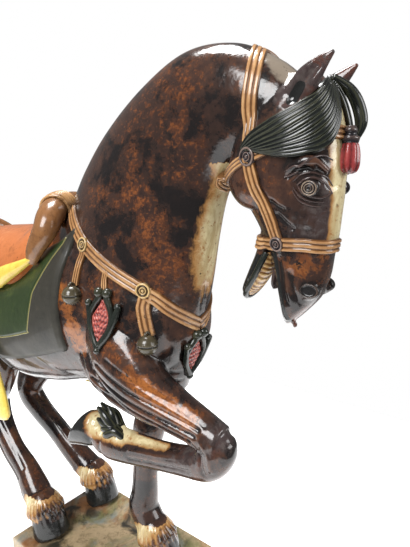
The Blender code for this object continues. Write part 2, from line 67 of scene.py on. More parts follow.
MM = 0.001
print("nodes:", sorted(frame["nodes"]))

# %% [markdown]
# ## Camera
#
# The slab's edges and the upright lines of the photograph fix the camera: it stands close to the horse's
# right front, a little above the middle. The lens is a wide one, so the near foreleg looms and the rump
# falls out of the picture.

# %% Camera
AZIMUTH = math.radians(37.54)
ELEVATION = math.radians(10.92)
CAMERA_PLACE = (0.3384, -0.2807, 0.3984)
LENS = 30.0                  # for a picture 36 mm high
camera_data = bpy.data.cameras.new("camera")
camera = bpy.data.objects.new("camera", camera_data)
bpy.context.scene.collection.objects.link(camera)
camera_data.sensor_fit = "VERTICAL"
camera_data.sensor_height = 36.0
camera_data.lens = LENS
camera.location = CAMERA_PLACE
back = Vector((math.sin(AZIMUTH) * math.cos(ELEVATION), -math.cos(AZIMUTH) * math.cos(ELEVATION),
               math.sin(ELEVATION)))
camera.rotation_euler = back.to_track_quat("Z", "Y").to_euler()
bpy.context.scene.camera = camera
print("camera at", tuple(round(v, 3) for v in camera.location))

# %% [markdown]
# ## Surfaces from tables
#
# A leg, a neck or a padded roll is a row of sections that change size along a bent line. It could be
# sculpted by hand or lofted. Here it is a surface of two parameters: a ring of angles carried along a
# smooth curve through a short table of stations. The potter thinks the same way, in sections along a
# limb, and a table is easy to read and to change.
#
# The curve comes first. It passes through every station, so a number in a table is a place on the horse.

# %% Curves through a table


def spread(table, count):
    """Rows of a table at count even steps of a Catmull-Rom curve through them.

    Between rows b and c, with a before and d after them, the curve at f in 0..1 is
    (2b + (c-a) f + (2a-5b+4c-d) f^2 + (3b-a-3c+d) f^3) / 2.
    """
    table = np.asarray(table, float)
    last = len(table) - 1
    t = np.linspace(0, last, count)
    i = np.minimum(t.astype(int), last - 1)
    f = (t - i)[:, None]
    rows = np.vstack([2 * table[0] - table[1], table, 2 * table[-1] - table[-2]])
    a, b, c, d = rows[i], rows[i + 1], rows[i + 2], rows[i + 3]
    return (2 * b + (c - a) * f + (2 * a - 5 * b + 4 * c - d) * f**2
            + (3 * b - a - 3 * c + d) * f**3) / 2


def unit(rows):
    """Each row divided by its length."""
    return rows / np.maximum(np.linalg.norm(rows, axis=-1, keepdims=True), 1e-12)


print("half way between two stations:", spread([(0, 0), (10, 4)], 3)[1])

# %% [markdown]
# ### Rings and directions
#
# A ring is a list of angles, pulled towards a square where a section is flat-sided, as a hoof or a barrel
# is. Each ring needs two directions across the curve. They are worked out from the curve's own run and
# from one broad direction, so a strap or a leg doesn't twist along its length.

# %% Rings and directions


def angles(sides):
    """Even angles round a full turn, without the last."""
    return np.linspace(0, 2 * math.pi, sides, endpoint=False)


def oval(sides, squareness):
    """Unit ring (sign(cos) |cos|^q, sign(sin) |sin|^q) for q = squareness."""
    c, s = np.cos(angles(sides)), np.sin(angles(sides))
    return np.sign(c) * np.abs(c)**squareness, np.sign(s) * np.abs(s)**squareness


def frames(centre, broad):
    """Run, side and depth directions along a curve, the side as near to broad as it can be."""
    run = unit(np.gradient(centre, axis=0))
    broad = np.asarray(broad, float)
    side = unit(broad - run * (run @ broad)[:, None])
    return run, side, np.cross(side, run)


print("second corner of a squarish ring:", [round(float(v[1]), 2) for v in oval(8, 0.5)])

# %% [markdown]
# ### Tubes, bodies and balls
#
# Rings joined by quads, with a fan over each end, make a closed shell. A limb is given by its middle line
# and two half widths. The trunk, neck and head are given by two lines of the profile instead, because
# the profile is what the photograph shows best.

# %% Closed shells


def closed(rings):
    """Points and faces of a stack of rings, with a fan over each end."""
    rings = np.asarray(rings, float)
    rows, cols, _ = rings.shape
    points = np.vstack([rings.reshape(-1, 3), rings[0].mean(0), rings[-1].mean(0)])
    r, c = np.meshgrid(np.arange(rows - 1), np.arange(cols), indexing="ij")
    n = (c + 1) % cols
    quads = np.stack([r * cols + c, r * cols + n, (r + 1) * cols + n, (r + 1) * cols + c], -1)
    c = np.arange(cols)
    n = (c + 1) % cols
    first = np.stack([0 * c + rows * cols, n, c], -1)
    final = np.stack([0 * c + rows * cols + 1, (rows - 1) * cols + c, (rows - 1) * cols + n], -1)
    return points, quads.reshape(-1, 4).tolist() + first.tolist() + final.tolist()


def limb(stations, rings=60, sides=40, squareness=1.0, broad=(0, 1, 0)):
    """Tube through stations (x, y, z, half depth, half width)."""
    table = spread(stations, rings)
    centre = table[:, :3]
    _, side, depth = frames(centre, broad)
    c, s = oval(sides, squareness)
    return closed(centre[:, None] + depth[:, None] * (table[:, 3, None, None] * c[None, :, None])
                  + side[:, None] * (table[:, 4, None, None] * s[None, :, None]))


def profile_body(stations, rings=90, sides=72, squareness=0.9, y=0.0):
    """Body between two lines of the profile at y, from stations (x1, z1, x2, z2, half width)."""
    table = spread(stations, rings)
    one = np.stack([table[:, 0], 0 * table[:, 0] + y, table[:, 1]], 1)
    two = np.stack([table[:, 2], 0 * table[:, 0] + y, table[:, 3]], 1)
    c, s = oval(sides, squareness)
    ring = ((one + two) / 2)[:, None] + ((one - two) / 2)[:, None] * c[None, :, None]
    return closed(ring + np.array([0, 1.0, 0]) * (table[:, 4, None, None] * s[None, :, None]))


def ball(centre, radii, rings=20, sides=32):
    """Ellipsoid with its poles on Z."""
    up = np.linspace(-math.pi / 2, math.pi / 2, rings + 2)[1:-1, None]
    turn = angles(sides)[None]
    unit_ball = np.stack([np.cos(up) * np.cos(turn), np.cos(up) * np.sin(turn),
                          np.sin(up) + 0 * turn], -1)
    return closed(np.asarray(centre, float) + unit_ball * np.asarray(radii, float))


print("faces of a ball:", len(ball((0, 0, 0), (1, 1, 1))[1]))

# %% [markdown]
# ### From numbers to objects
#
# `make` joins shells into one mesh whose place is in its points, so the object itself stays at the
# origin, unturned. Its normals are turned outward and it is shaded smooth, as glaze is. `mark` keeps a
# number for each vertex, which a material reads back by name.

# %% From numbers to objects


def metres(points):
    """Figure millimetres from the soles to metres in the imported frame."""
    return (np.asarray(points, float) + (0, 0, SOLE_HEIGHT)) * MM


def make(name, shells, material=None, relief=None):
    """One object from closed shells, faces outward, smooth."""
    mesh = bpy.data.meshes.new(name)
    points, faces, start = [], [], 0
    for shell_points, shell_faces in shells:
        points.append(metres(shell_points))
        faces += [[i + start for i in face] for face in shell_faces]
        start += len(shell_points)
    mesh.from_pydata(np.vstack(points).tolist(), [], faces)
    tidy = bmesh.new()
    tidy.from_mesh(mesh)
    bmesh.ops.recalc_face_normals(tidy, faces=tidy.faces)
    tidy.to_mesh(mesh)
    tidy.free()
    mesh.shade_smooth()
    piece = bpy.data.objects.new(name, mesh)
    bpy.context.scene.collection.objects.link(piece)
    if relief is not None:
        mark(piece, "relief", relief)
    if material:
        mesh.materials.append(material)
    return piece


def mark(piece, name, values):
    """Keep one number for each vertex, for the material to read."""
    layer = piece.data.attributes.new(name, "FLOAT", "POINT")
    layer.data.foreach_set("value", np.asarray(values, np.float32).ravel())


def settled(piece, name):
    """The piece with its modifiers applied, as a new object; the old one goes."""
    graph = bpy.context.evaluated_depsgraph_get()
    mesh = bpy.data.meshes.new_from_object(piece.evaluated_get(graph))
    bpy.data.objects.remove(piece)
    plain = bpy.data.objects.new(name, mesh)
    bpy.context.scene.collection.objects.link(plain)
    return plain


def corners_of(piece):
    """Vertex positions in figure millimetres, and vertex normals."""
    mesh = piece.data
    co = np.zeros(len(mesh.vertices) * 3, np.float32)
    no = np.zeros(len(mesh.vertices) * 3, np.float32)
    mesh.vertices.foreach_get("co", co)
    mesh.vertices.foreach_get("normal", no)
    return co.reshape(-1, 3) / MM - (0, 0, SOLE_HEIGHT), no.reshape(-1, 3).astype(float)


print("soles at z =", SOLE_HEIGHT, "mm in the packed frame")

# %% [markdown]
# ## The clay body
#
# The horse was pressed in moulds and luted together, so its limbs run into each other without a seam.
# It could be modelled as one cage of quads and subdivided, which takes long to lay out. Here the same
# happens as in the pottery: overlapping tubes are fused into one skin by a voxel remesh, and the skin is
# smoothed as wet clay is with a sponge.
#
# The trunk, neck and head carry the outline: the high crest, the deep chest and the narrow muzzle.

# %% Trunk, neck and head


def trunk():
    """Barrel, croup and chest between the back line and the belly line."""
    return profile_body([
        (-250, 270, -250, 260, 6), (-245, 298, -242, 230, 30), (-222, 320, -214, 202, 48),
        (-184, 328, -180, 186, 56), (-140, 322, -138, 176, 57), (-95, 318, -95, 171, 58),
        (-50, 328, -50, 178, 57), (-8, 350, -8, 190, 55), (34, 350, 30, 200, 52),
        (66, 336, 60, 208, 48), (92, 312, 86, 218, 41), (108, 292, 104, 234, 31),
        (117, 270, 116, 258, 8)])


def neck():
    """Arched neck between the crest and the throat."""
    return profile_body([
        (-66, 335, 98, 205, 46), (-28, 362, 112, 250, 45), (-2, 398, 124, 300, 40),
        (26, 428, 131, 338, 35), (66, 457, 138, 368, 31), (110, 476.6, 148, 388, 28),
        (152, 475.6, 158, 396, 26), (184, 461, 172, 398, 24), (203, 446, 190, 396, 20)],
        squareness=0.95)


def head():
    """Skull and upper jaw from the poll to the upper lip."""
    return profile_body([
        (212, 449, 188, 449, 10), (222, 436, 172, 436, 20), (228, 418, 160, 420, 26),
        (231, 398, 154, 402, 27), (231, 380, 156, 386, 25), (230, 364, 164, 370, 22),
        (229, 350, 174, 354, 19), (227, 337, 182, 338, 16.5), (225, 322, 187, 322, 15),
        (220, 308, 191, 306, 14), (210, 296, 194, 293, 11), (201, 287, 196, 285, 5)],
        squareness=0.85)


print("points of the trunk, neck and head:", [len(part()[0]) for part in (trunk, neck, head)])

# %% [markdown]
# ### Face, ears and jaw
#
# The face is small forms set on the skull: the round cheek muscle, the brow, the ear, the flare of the
# nostril and the socket. They are the same on both sides but for the sign of y. The jaw hangs open, so it
# is a tube of its own.

# %% Face, ears and jaw


def face_side(s):
    """Cheek muscle, brow ridge, ear, nostril flare and eye socket of one side."""
    return [
        ball((176, s * 15, 388), (21, 11, 24)),
        limb([(199, s * 21, 384, 1.5, 1.5), (208, s * 24.5, 391, 3, 2.6), (219, s * 23.5, 394.5, 3.4, 2.6),
              (228, s * 17, 388, 2, 2)], 30, 16),
        limb([(200, s * 14, 426, 7, 5), (206, s * 16, 434, 9.5, 6), (213, s * 18, 442, 8.5, 5),
              (221, s * 19, 449, 5, 3.4), (229, s * 19, 455, 1.2, 1.2)], 40, 28),
        ball((215, s * 10.5, 312.5), (8, 4.4, 6)),
        ball((220, s * 22.5, 379), (5.8, 4.2, 4.4)),
    ]


def mouth_parts():
    """Lower jaw and tongue."""
    return [
        limb([(184, 0, 352, 8, 12), (178, 0, 334, 5.8, 11), (171.5, 0, 320, 4.8, 11),
              (165, 0, 307, 3.8, 9.4), (162.5, 0, 302, 2, 5)], 30, 24),
        limb([(187, 0, 336, 3, 7), (185, 0, 326, 2.4, 6)], 16, 16),
        ball((202.5, -1, 285), (2, 2, 2.4), 10, 12),
    ]


print("forms on each side of the face:", len(face_side(1)))

# %% [markdown]
# ### Raised foreleg
#
# The near foreleg is folded hard at the knee, so that the cannon lies almost under the forearm and the
# hoof points back. Forearm and cannon are separate tubes that meet in the ball of the knee. The hoof is
# a profile body, since its wall is flat at the sole.

# %% Raised foreleg


def raised_foreleg():
    """Near foreleg folded up: shoulder, elbow, knee, cannon and hoof."""
    return [
        limb([(40, -30, 268, 30, 20), (62, -36, 240, 31, 21), (88, -36, 219, 27, 19),
              (116, -33, 207, 20, 16), (142, -30, 198, 16, 14), (159, -29, 192, 13.5, 14)]),
        limb([(24, -34, 238, 18, 14), (40, -37, 218, 16, 13), (66, -36, 205, 12, 11),
              (100, -34, 196, 9, 8)], 30, 24),
        limb([(158, -29, 195, 13, 12), (158, -29, 184, 14, 14), (147, -29, 171, 14, 13),
              (122, -30, 164, 12.5, 11), (90, -32, 159, 13, 11), (62, -34, 156, 15, 13),
              (44, -35, 155, 15.5, 14), (28, -36, 157, 12, 12)]),
        ball((157.5, -29, 188.5), (14, 12.5, 14.5)),
        profile_body([(34, 170, 24, 144, 12), (29, 176, 18, 142, 14.5), (22, 177, 6, 139, 16),
                      (14, 175, -7, 135, 16.5)], 30, 48, squareness=1.0, y=-36),
        limb([(58, -34, 164, 8, 7), (46, -34, 173, 6, 6), (38, -34, 178, 4, 4.5),
              (33, -34, 181, 2, 2)], 24, 20),
    ]


print("forms of the raised foreleg:", len(raised_foreleg()))

# %% [markdown]
# ### Standing legs and tail
#
# Three hooves carry the statue. Their places on the slab are named once, since the legs, the combed hair
# and the painted hooves all need them. The hind legs are gathered under the body with sharp hocks, and
# spread from the stifle out to their own hoof. The tail is out of the picture, so it is plain: short,
# tied up and bound.

# %% Standing legs and tail
HOOF_RADIUS = 20.0
HIND_FAR = (-68.0, 40.5)
HIND_NEAR = (-69.0, -31.0)
FORE_FAR = (58.0, 16.0)
SOLES = (HIND_FAR, HIND_NEAR, FORE_FAR)


def hoof_on(x, y):
    """Hoof wall with its flat sole on the slab, and the collar of hair above it."""
    r = HOOF_RADIUS
    points, faces = limb([(x - 9, y, 31, 0.86 * r, 0.86 * r), (x - 4, y, 15, 0.93 * r, 0.93 * r),
                          (x, y, 0, r, r)], 16, 40)
    points[points[:, 2] < 2, 2] = 0
    return [(points, faces), limb([
        (x - 20, y, 42, 0.6 * r, 0.6 * r), (x - 17, y, 37, 0.8 * r, 0.78 * r),
        (x - 13, y, 30, 0.98 * r, 0.93 * r), (x - 10, y, 23, 1.08 * r, r),
        (x - 9, y, 19, 0.7 * r, 0.7 * r)], 24, 40)]


def standing_foreleg():
    """Far foreleg, straight under the chest."""
    x, y = FORE_FAR
    return [limb([(66, 34, 262, 34, 18), (58, 34, 226, 28, 18), (46, 30, 190, 20, 16),
                  (38, 24, 160, 16, 15), (36, 20, 140, 17, 16), (35, 18, 124, 15, 14),
                  (34, 16, 98, 13.5, 12), (32, 16, 70, 14.5, 13), (30, 16, 52, 16.5, 15),
                  (37, 16, 40, 16, 15), (x - 13, y, 30, 15, 15)], 80)] + hoof_on(x, y)


def hind_leg(side, sole):
    """Hind leg gathered under the body, with a sharp hock."""
    x, y = sole
    foot = abs(y)
    spreads = [30, 37, 35, 29, 24, 23, 26, 0.3 * foot + 19, 0.6 * foot + 9, 0.9 * foot + 1, foot]
    run = [(-184, 262, 50, 24), (-158, 232, 44, 22), (-148, 200, 36, 20), (-162, 166, 27, 16),
           (-181, 134, 21, 14), (-183, 114, 20, 14), (-167, 94, 17.5, 12.5), (-143, 73, 16, 12),
           (-119, 56, 16, 13), (-102, 42, 16.5, 15), (x - 14, 30, 15.5, 15.5)]
    return [limb([(px, side * out, pz, deep, wide)
                  for out, (px, pz, deep, wide) in zip(spreads, run)], 100)] + hoof_on(x, y)


def tail():
    """Short bound tail, tied up and arched off the croup."""
    return [limb([(-234, 0, 298, 11, 11), (-250, 0, 306, 11, 11), (-264, 0, 298, 12, 12),
                  (-269.9, 0, 276, 14, 13), (-269.9, 0, 248, 13, 12), (-267, 0, 224, 5, 5)]),
            limb([(-257, 0, 314, 9, 11), (-266, 0, 304, 15, 15), (-272, 0, 291, 10, 12)], 24, 32)]


print("hooves on the slab:", len(SOLES))

# %% [markdown]
# ## Carving
#
# The finer modelling was cut into the clay with a loop tool: tendons down the legs, creases on the cheek,
# the lips and the hair over the hooves. It could be a bump in the material, but it would then vanish in
# the outline and from the mesh. So each cut is a drawn line that really pushes the skin in, or
# out for a ridge, by a bell-shaped amount across the line.

# %% Carving tools


def distance_to(points, path):
    """Distance of each point to the nearest segment of a path."""
    path = np.asarray(path, float)
    best = np.full(len(points), 1e9)
    for a, b in zip(path[:-1], path[1:]):
        leg = b - a
        t = np.clip(((points - a) @ leg) / max(leg @ leg, 1e-9), 0, 1)
        best = np.minimum(best, np.linalg.norm(points - a - t[:, None] * leg, axis=1))
    return best


def side_cut(points, normals, side, path, radius, depth):
    """Push of depth exp(-(d / radius)^2) for a line (x, z) drawn on the skin that faces one side."""
    push = np.zeros(len(points))
    facing = np.clip(2.5 * side * normals[:, 1], 0, 1) * (side * points[:, 1] > 2)
    near = np.flatnonzero(facing > 0)
    path = np.asarray(path, float)
    low, high = path.min(0) - 3 * radius, path.max(0) + 3 * radius
    flat = points[near][:, [0, 2]]
    near = near[np.all((flat > low) & (flat < high), axis=1)]
    away = distance_to(points[near][:, [0, 2]], path)
    push[near] = depth * np.exp(-(away / radius)**2) * facing[near]
    return push


print("depth of a cut half a radius away:", round(math.exp(-0.25), 2), "of the full depth")

# %% [markdown]
# ### The carved lines
#
# Each line is a few points (x, z) seen from the side, with a radius and a depth. A depth below zero is a
# groove. The raised foreleg has its own lines, and the others are cut on both sides alike.

# %% The carved lines
FORELEG_CUTS = [
    ([(33, 212), (63, 203), (98, 194), (134, 187)], 2.2, -2.6),
    ([(38, 219), (70, 208.5), (104, 200), (140, 192.5)], 1.7, -2.2),
    ([(44, 227), (78, 215), (111, 206.5), (145, 198.5)], 1.8, -2.2),
    ([(52, 236), (88, 222), (120, 212.5), (148, 204)], 1.7, -1.6),
    ([(66, 243), (98, 229), (128, 217), (152, 207)], 2.2, -0.9),
    ([(22, 236), (32, 214), (48, 200)], 3.0, -1.8),
    ([(140, 192), (150, 182), (153, 170)], 2.2, -1.3),
    ([(152, 194), (158, 186), (160, 176)], 2.0, 0.9),
    ([(140, 181), (110, 173), (82, 169), (62, 167)], 1.8, -1.2),
    ([(138, 166), (105, 159), (76, 154)], 1.8, -1.2),
    ([(132, 174), (104, 166), (76, 162)], 1.6, 0.7),
    ([(96, 288), (103, 262), (104, 242)], 4.5, -1.3),
    ([(42, 300), (52, 276), (58, 256)], 5.0, -1.2),
]
LEG_CUTS = [
    ([(-178, 106), (-162, 88), (-138, 68), (-114, 52)], 1.9, -1.2),
    ([(-172, 118), (-154, 100), (-131, 81), (-110, 64)], 1.8, -1.0),
    ([(-188, 150), (-176, 136), (-170, 120)], 3.0, -1.2),
    ([(-160, 184), (-168, 158), (-184, 134)], 3.0, -1.2),
    ([(28, 190), (29, 150), (29, 110), (25, 76)], 2.2, -1.2),
    ([(42, 184), (42, 150), (39, 110), (38, 76)], 2.0, -1.1),
    ([(30, 148), (38, 142), (44, 134)], 2.2, -1.0),
    ([(-60, 224), (-20, 204), (20, 206)], 5.0, -0.8),
]
FACE_CUTS = [
    ([(193, 370), (197, 367), (201, 365)], 1.6, -1.3),
    ([(197, 362), (202, 357), (207, 353)], 1.6, -1.3),
    ([(184, 378), (191, 368), (195, 357)], 2.4, -0.9),
    ([(205, 385), (212, 389), (217, 390)], 1.3, -1.2),
    ([(223, 390), (227, 385), (228, 380)], 1.9, -1.6),
    ([(204, 324), (207, 312), (212, 303)], 2.0, -0.9),
    ([(192, 333), (194, 324), (195, 314), (198, 302), (200, 291)], 1.8, 1.1),
    ([(196, 333), (198, 324), (199, 314), (202, 303)], 1.5, -0.9),
    ([(216, 352), (212, 336), (206, 322)], 3.0, -0.8),
]
print("carved lines:", len(FORELEG_CUTS) + 2 * len(LEG_CUTS + FACE_CUTS))

# %% [markdown]
# ### Fused, sponged, carved and thinned
#
# The hair over the hooves is combed with a cosine round the leg, and the ears are hollowed on the side
# that faces outward. The remesh grain is fine enough for a tendon. The skin is thinned last, to stay
# under the budget for one piece, and thinning keeps more triangles where the carving is.

# %% Clay body
BODY_TRIANGLES = 192000
FUSE_GRAIN = 1.05            # mm
SPONGE_PASSES = 9
EAR_HOLLOW, EAR_WIDTH = 3.2, 3.6
COMB_DEPTH, COMB_TEETH, COMB_REACH = 0.75, 22, 30
CHEST_GROOVE, CHEST_WIDTH = 1.6, 4.0


def carve(piece):
    """Cut all lines into the skin, comb the hair over the hooves and hollow the ears."""
    points, normals = corners_of(piece)
    push = np.zeros(len(points))
    for path, radius, depth in FORELEG_CUTS:
        push += side_cut(points, normals, -1, path, radius, depth)
    for s in (-1, 1):
        for path, radius, depth in LEG_CUTS + FACE_CUTS:
            push += side_cut(points, normals, s, path, radius, depth)
        inner = [(203, s * 19, 429), (208, s * 21, 437), (214, s * 22, 443), (220, s * 21.5, 448)]
        open_side = np.clip(2 * (normals @ (0.45, s * 0.89, 0)) - 0.5, 0, 1)
        push -= EAR_HOLLOW * open_side * np.exp(-(distance_to(points, inner) / EAR_WIDTH)**2)
    for x, y in SOLES:
        turn = np.arctan2(points[:, 1] - y, points[:, 0] - x + 12)
        away = np.hypot(points[:, 0] - x + 12, points[:, 1] - y)
        band = (away < COMB_REACH) * np.clip(1 - np.abs(points[:, 2] - 31) / 13, 0, 1)
        push += COMB_DEPTH * band * np.cos(COMB_TEETH * turn + 0.25 * points[:, 2])
    middle = distance_to(points, [(126, 0, 300), (121, 0, 262), (112, 0, 236)])
    push -= CHEST_GROOVE * np.exp(-(middle / CHEST_WIDTH)**2)
    moved = metres(points + normals * push[:, None])
    piece.data.vertices.foreach_set("co", moved.astype(np.float32).ravel())
    piece.data.update()


def clay_body():
    """All body shells fused, smoothed, carved and thinned to the triangle budget."""
    shells = [trunk(), neck(), head()] + mouth_parts() + raised_foreleg() + standing_foreleg()
    for s in (-1, 1):
        shells += face_side(s)
    shells += tail() + hind_leg(1, HIND_FAR) + hind_leg(-1, HIND_NEAR)
    raw = make("raw_clay", shells)
    fuse = raw.modifiers.new("fuse", "REMESH")
    fuse.mode = "VOXEL"
    fuse.voxel_size = FUSE_GRAIN * MM
    sponge = raw.modifiers.new("sponge", "SMOOTH")
    sponge.factor = 0.5
    sponge.iterations = SPONGE_PASSES
    wet = settled(raw, "wet_clay")
    carve(wet)
    thin = wet.modifiers.new("thin", "DECIMATE")
    thin.ratio = min(1.0, BODY_TRIANGLES / (2 * len(wet.data.polygons)))
    return settled(wet, "horse_body")


body = clay_body()
print("body faces:", len(body.data.polygons))

# %% [markdown]
# ### The skin as a place to lay things on
#
# Straps, studs and cloth lie on the clay. A search tree over the body's faces answers the two questions
# that they ask: where is the skin nearest to this point, and where does a line from the side meet it?

# %% Skin


class Skin:
    """The body's surface in figure millimetres, for laying tack on it."""

    def __init__(self, piece):
        points, _ = corners_of(piece)
        faces = [tuple(p.vertices) for p in piece.data.polygons]
        self.tree = BVHTree.FromPolygons([Vector(p) for p in points], faces)

    def nearest(self, points):
        """Nearest surface point and outward normal for each row."""
        found = [self.tree.find_nearest(Vector(p)) for p in points]
        return np.array([f[0] for f in found]), np.array([f[1] for f in found])

    def flank(self, x, z, side, reach=90):
        """y where a line along Y from outside meets the flank."""
        hit = self.tree.ray_cast(Vector((x, side * reach, z)), Vector((0, -side, 0)))[0]
        return hit.y if hit else 0.0


skin = Skin(body)
print("flank at the middle of the barrel: y =", round(skin.flank(-100, 260, 1), 1), "mm")

# %% [markdown]
# ## Glaze materials
#
# Three lead glazes were brushed on and ran in the kiln: amber brown, straw cream and copper green. They
# pool dark in the hollows and thin out pale on the ridges, so each piece carries a `relief` number from
# -1 in a groove to +1 on an edge, and the material reads it.

# %% Shader helpers


class Wiring:
    """Short calls for adding and joining nodes in one tree."""

    def __init__(self, tree):
        self.tree = tree

    def add(self, kind, inputs=(), **settings):
        """A node with its settings and its inputs, each a socket or a value."""
        made = self.tree.nodes.new(kind)
        for key, value in settings.items():
            setattr(made, key, value)
        for key, value in dict(inputs).items():
            self.plug(made, key, value)
        return made

    def plug(self, node, key, value):
        """Join a socket to an input, or set the input's own value."""
        if isinstance(value, bpy.types.NodeSocket):
            self.tree.links.new(value, node.inputs[key])
        else:
            node.inputs[key].default_value = value

    def mix(self, share, one, two):
        """Colour one + share (two - one)."""
        node = self.add("ShaderNodeMix", data_type="RGBA")
        for index, value in ((0, share), (6, one), (7, two)):
            self.plug(node, index, value if isinstance(value, bpy.types.NodeSocket) or index == 0
                      else (*value, 1.0))
        return node.outputs[2]

    def math(self, operation, one, two=0.0, three=0.0):
        """Scalar operation."""
        node = self.add("ShaderNodeMath", operation=operation)
        for index, value in enumerate((one, two, three)):
            self.plug(node, index, value)
        return node.outputs[0]

    def step(self, value, low, high):
        """Smooth step from 0 at low to 1 at high."""
        node = self.add("ShaderNodeMapRange", interpolation_type="SMOOTHSTEP")
        for key, number in (("Value", value), ("From Min", low), ("From Max", high)):
            self.plug(node, key, number)
        return node.outputs["Result"]

    def noise(self, vector, scale, detail=4.0, roughness=0.55, distortion=0.0):
        """Noise value about 0.5."""
        return self.add("ShaderNodeTexNoise", {
            "Vector": vector, "Scale": scale, "Detail": detail, "Roughness": roughness,
            "Distortion": distortion}).outputs[0]

    def read(self, name):
        """A vertex number."""
        return self.add("ShaderNodeAttribute", attribute_name=name).outputs["Fac"]


print("node kinds used by the helpers:", "Mix, Math, Map Range, Noise Texture, Attribute")

# %% One group for every run glaze


def run_group():
    """Node group that gives the masks of a run glaze from object coordinates.

    Streaks hang down the piece, Cloud is the broad change of colour, Mottle the spots of a few
    millimetres, Speck the iron grains, and Height is the fine unevenness of the melt.
    """
    group = bpy.data.node_groups.new("Glaze_Run", "ShaderNodeTree")
    for name in ("Streak", "Cloud", "Mottle", "Speck", "Height"):
        group.interface.new_socket(name, in_out="OUTPUT", socket_type="NodeSocketFloat")
    w = Wiring(group)
    place = w.add("ShaderNodeTexCoord").outputs["Object"]
    hang = w.add("ShaderNodeMapping", {"Vector": place, "Scale": (1.0, 1.0, 0.28)}).outputs[0]
    out = w.add("NodeGroupOutput")
    w.plug(out, "Streak", w.noise(hang, 95.0, 6.0, 0.62, 0.6))
    w.plug(out, "Cloud", w.noise(place, 19.0, 5.0, 0.6, 0.9))
    w.plug(out, "Mottle", w.noise(place, 165.0, 8.0, 0.72, 0.4))
    w.plug(out, "Speck", w.noise(place, 420.0, 3.0, 0.6))
    fine = w.math("MULTIPLY", w.noise(place, 210.0, 3.0, 0.5), 0.35)
    w.plug(out, "Height", w.math("ADD", w.noise(place, 60.0, 3.0, 0.5), fine))
    return group


RUN = run_group()


print("masks of the run glaze:", [socket.name for socket in RUN.interface.items_tree])

# %% A glaze material
SPECULAR_LEVEL = 0.32
COAT_ROUGHNESS = 0.04


def glaze(name, deep, mid, light, roughness=0.24, coat=0.26, uneven=0.0006, paint=None):
    """Material of one glaze: deep in hollows, mid on the flat, light on ridges, with runs and specks."""
    material = bpy.data.materials.new(name)
    material.use_nodes = True
    w = Wiring(material.node_tree)
    shader = material.node_tree.nodes["Principled BSDF"]
    run = w.add("ShaderNodeGroup")
    run.node_tree = RUN
    relief = w.read("relief")
    tone = w.math("ADD", relief, w.math("MULTIPLY_ADD", run.outputs["Cloud"], 1.8, -0.9))
    tone = w.math("ADD", tone, w.math("MULTIPLY_ADD", run.outputs["Mottle"], 2.0, -1.0))
    tone = w.math("ADD", tone, w.math("MULTIPLY_ADD", run.outputs["Streak"], 1.2, -0.6))
    colour = w.mix(w.step(tone, -0.75, 0.1), deep, mid)
    colour = w.mix(w.step(tone, 0.1, 1.1), colour, light)
    if paint:
        colour = paint(w, colour, run)
    dark_spot = tuple(0.35 * c for c in deep)
    colour = w.mix(w.step(run.outputs["Speck"], 0.64, 0.76), colour, dark_spot)
    w.plug(shader, "Base Color", colour)
    shader.inputs["Roughness"].default_value = roughness
    shader.inputs["Specular IOR Level"].default_value = SPECULAR_LEVEL
    shader.inputs["Coat Weight"].default_value = coat
    shader.inputs["Coat Roughness"].default_value = COAT_ROUGHNESS
    bump = w.add("ShaderNodeBump", {"Height": run.outputs["Height"], "Distance": uneven,
                                    "Strength": 0.6})
    w.plug(shader, "Normal", bump.outputs[0])
    return material


# %% [markdown]
# ### Brown glaze over the body
#
# The brown glaze is nearly black where it is thick, rust where it is thin, and grainy between. The
# painted areas lie over it, each with a ragged edge, because the runs are added to the mask before the
# step.

# %% Paint of the body and the slab
BROWN_MOTTLE = (0.066, 0.025, 0.013)
RUST = (0.165, 0.054, 0.017)
NEAR_BLACK = (0.009, 0.007, 0.007)
WINE = (0.085, 0.032, 0.022)
GREY_SHEEN_MOTTLE = (0.066, 0.052, 0.048)
BURNT_OCHRE = (0.10, 0.033, 0.012)
STRAW = (0.42, 0.32, 0.16)
IRON_STAIN = (0.27, 0.115, 0.035)
AMBER_EDGE = (0.30, 0.145, 0.045)


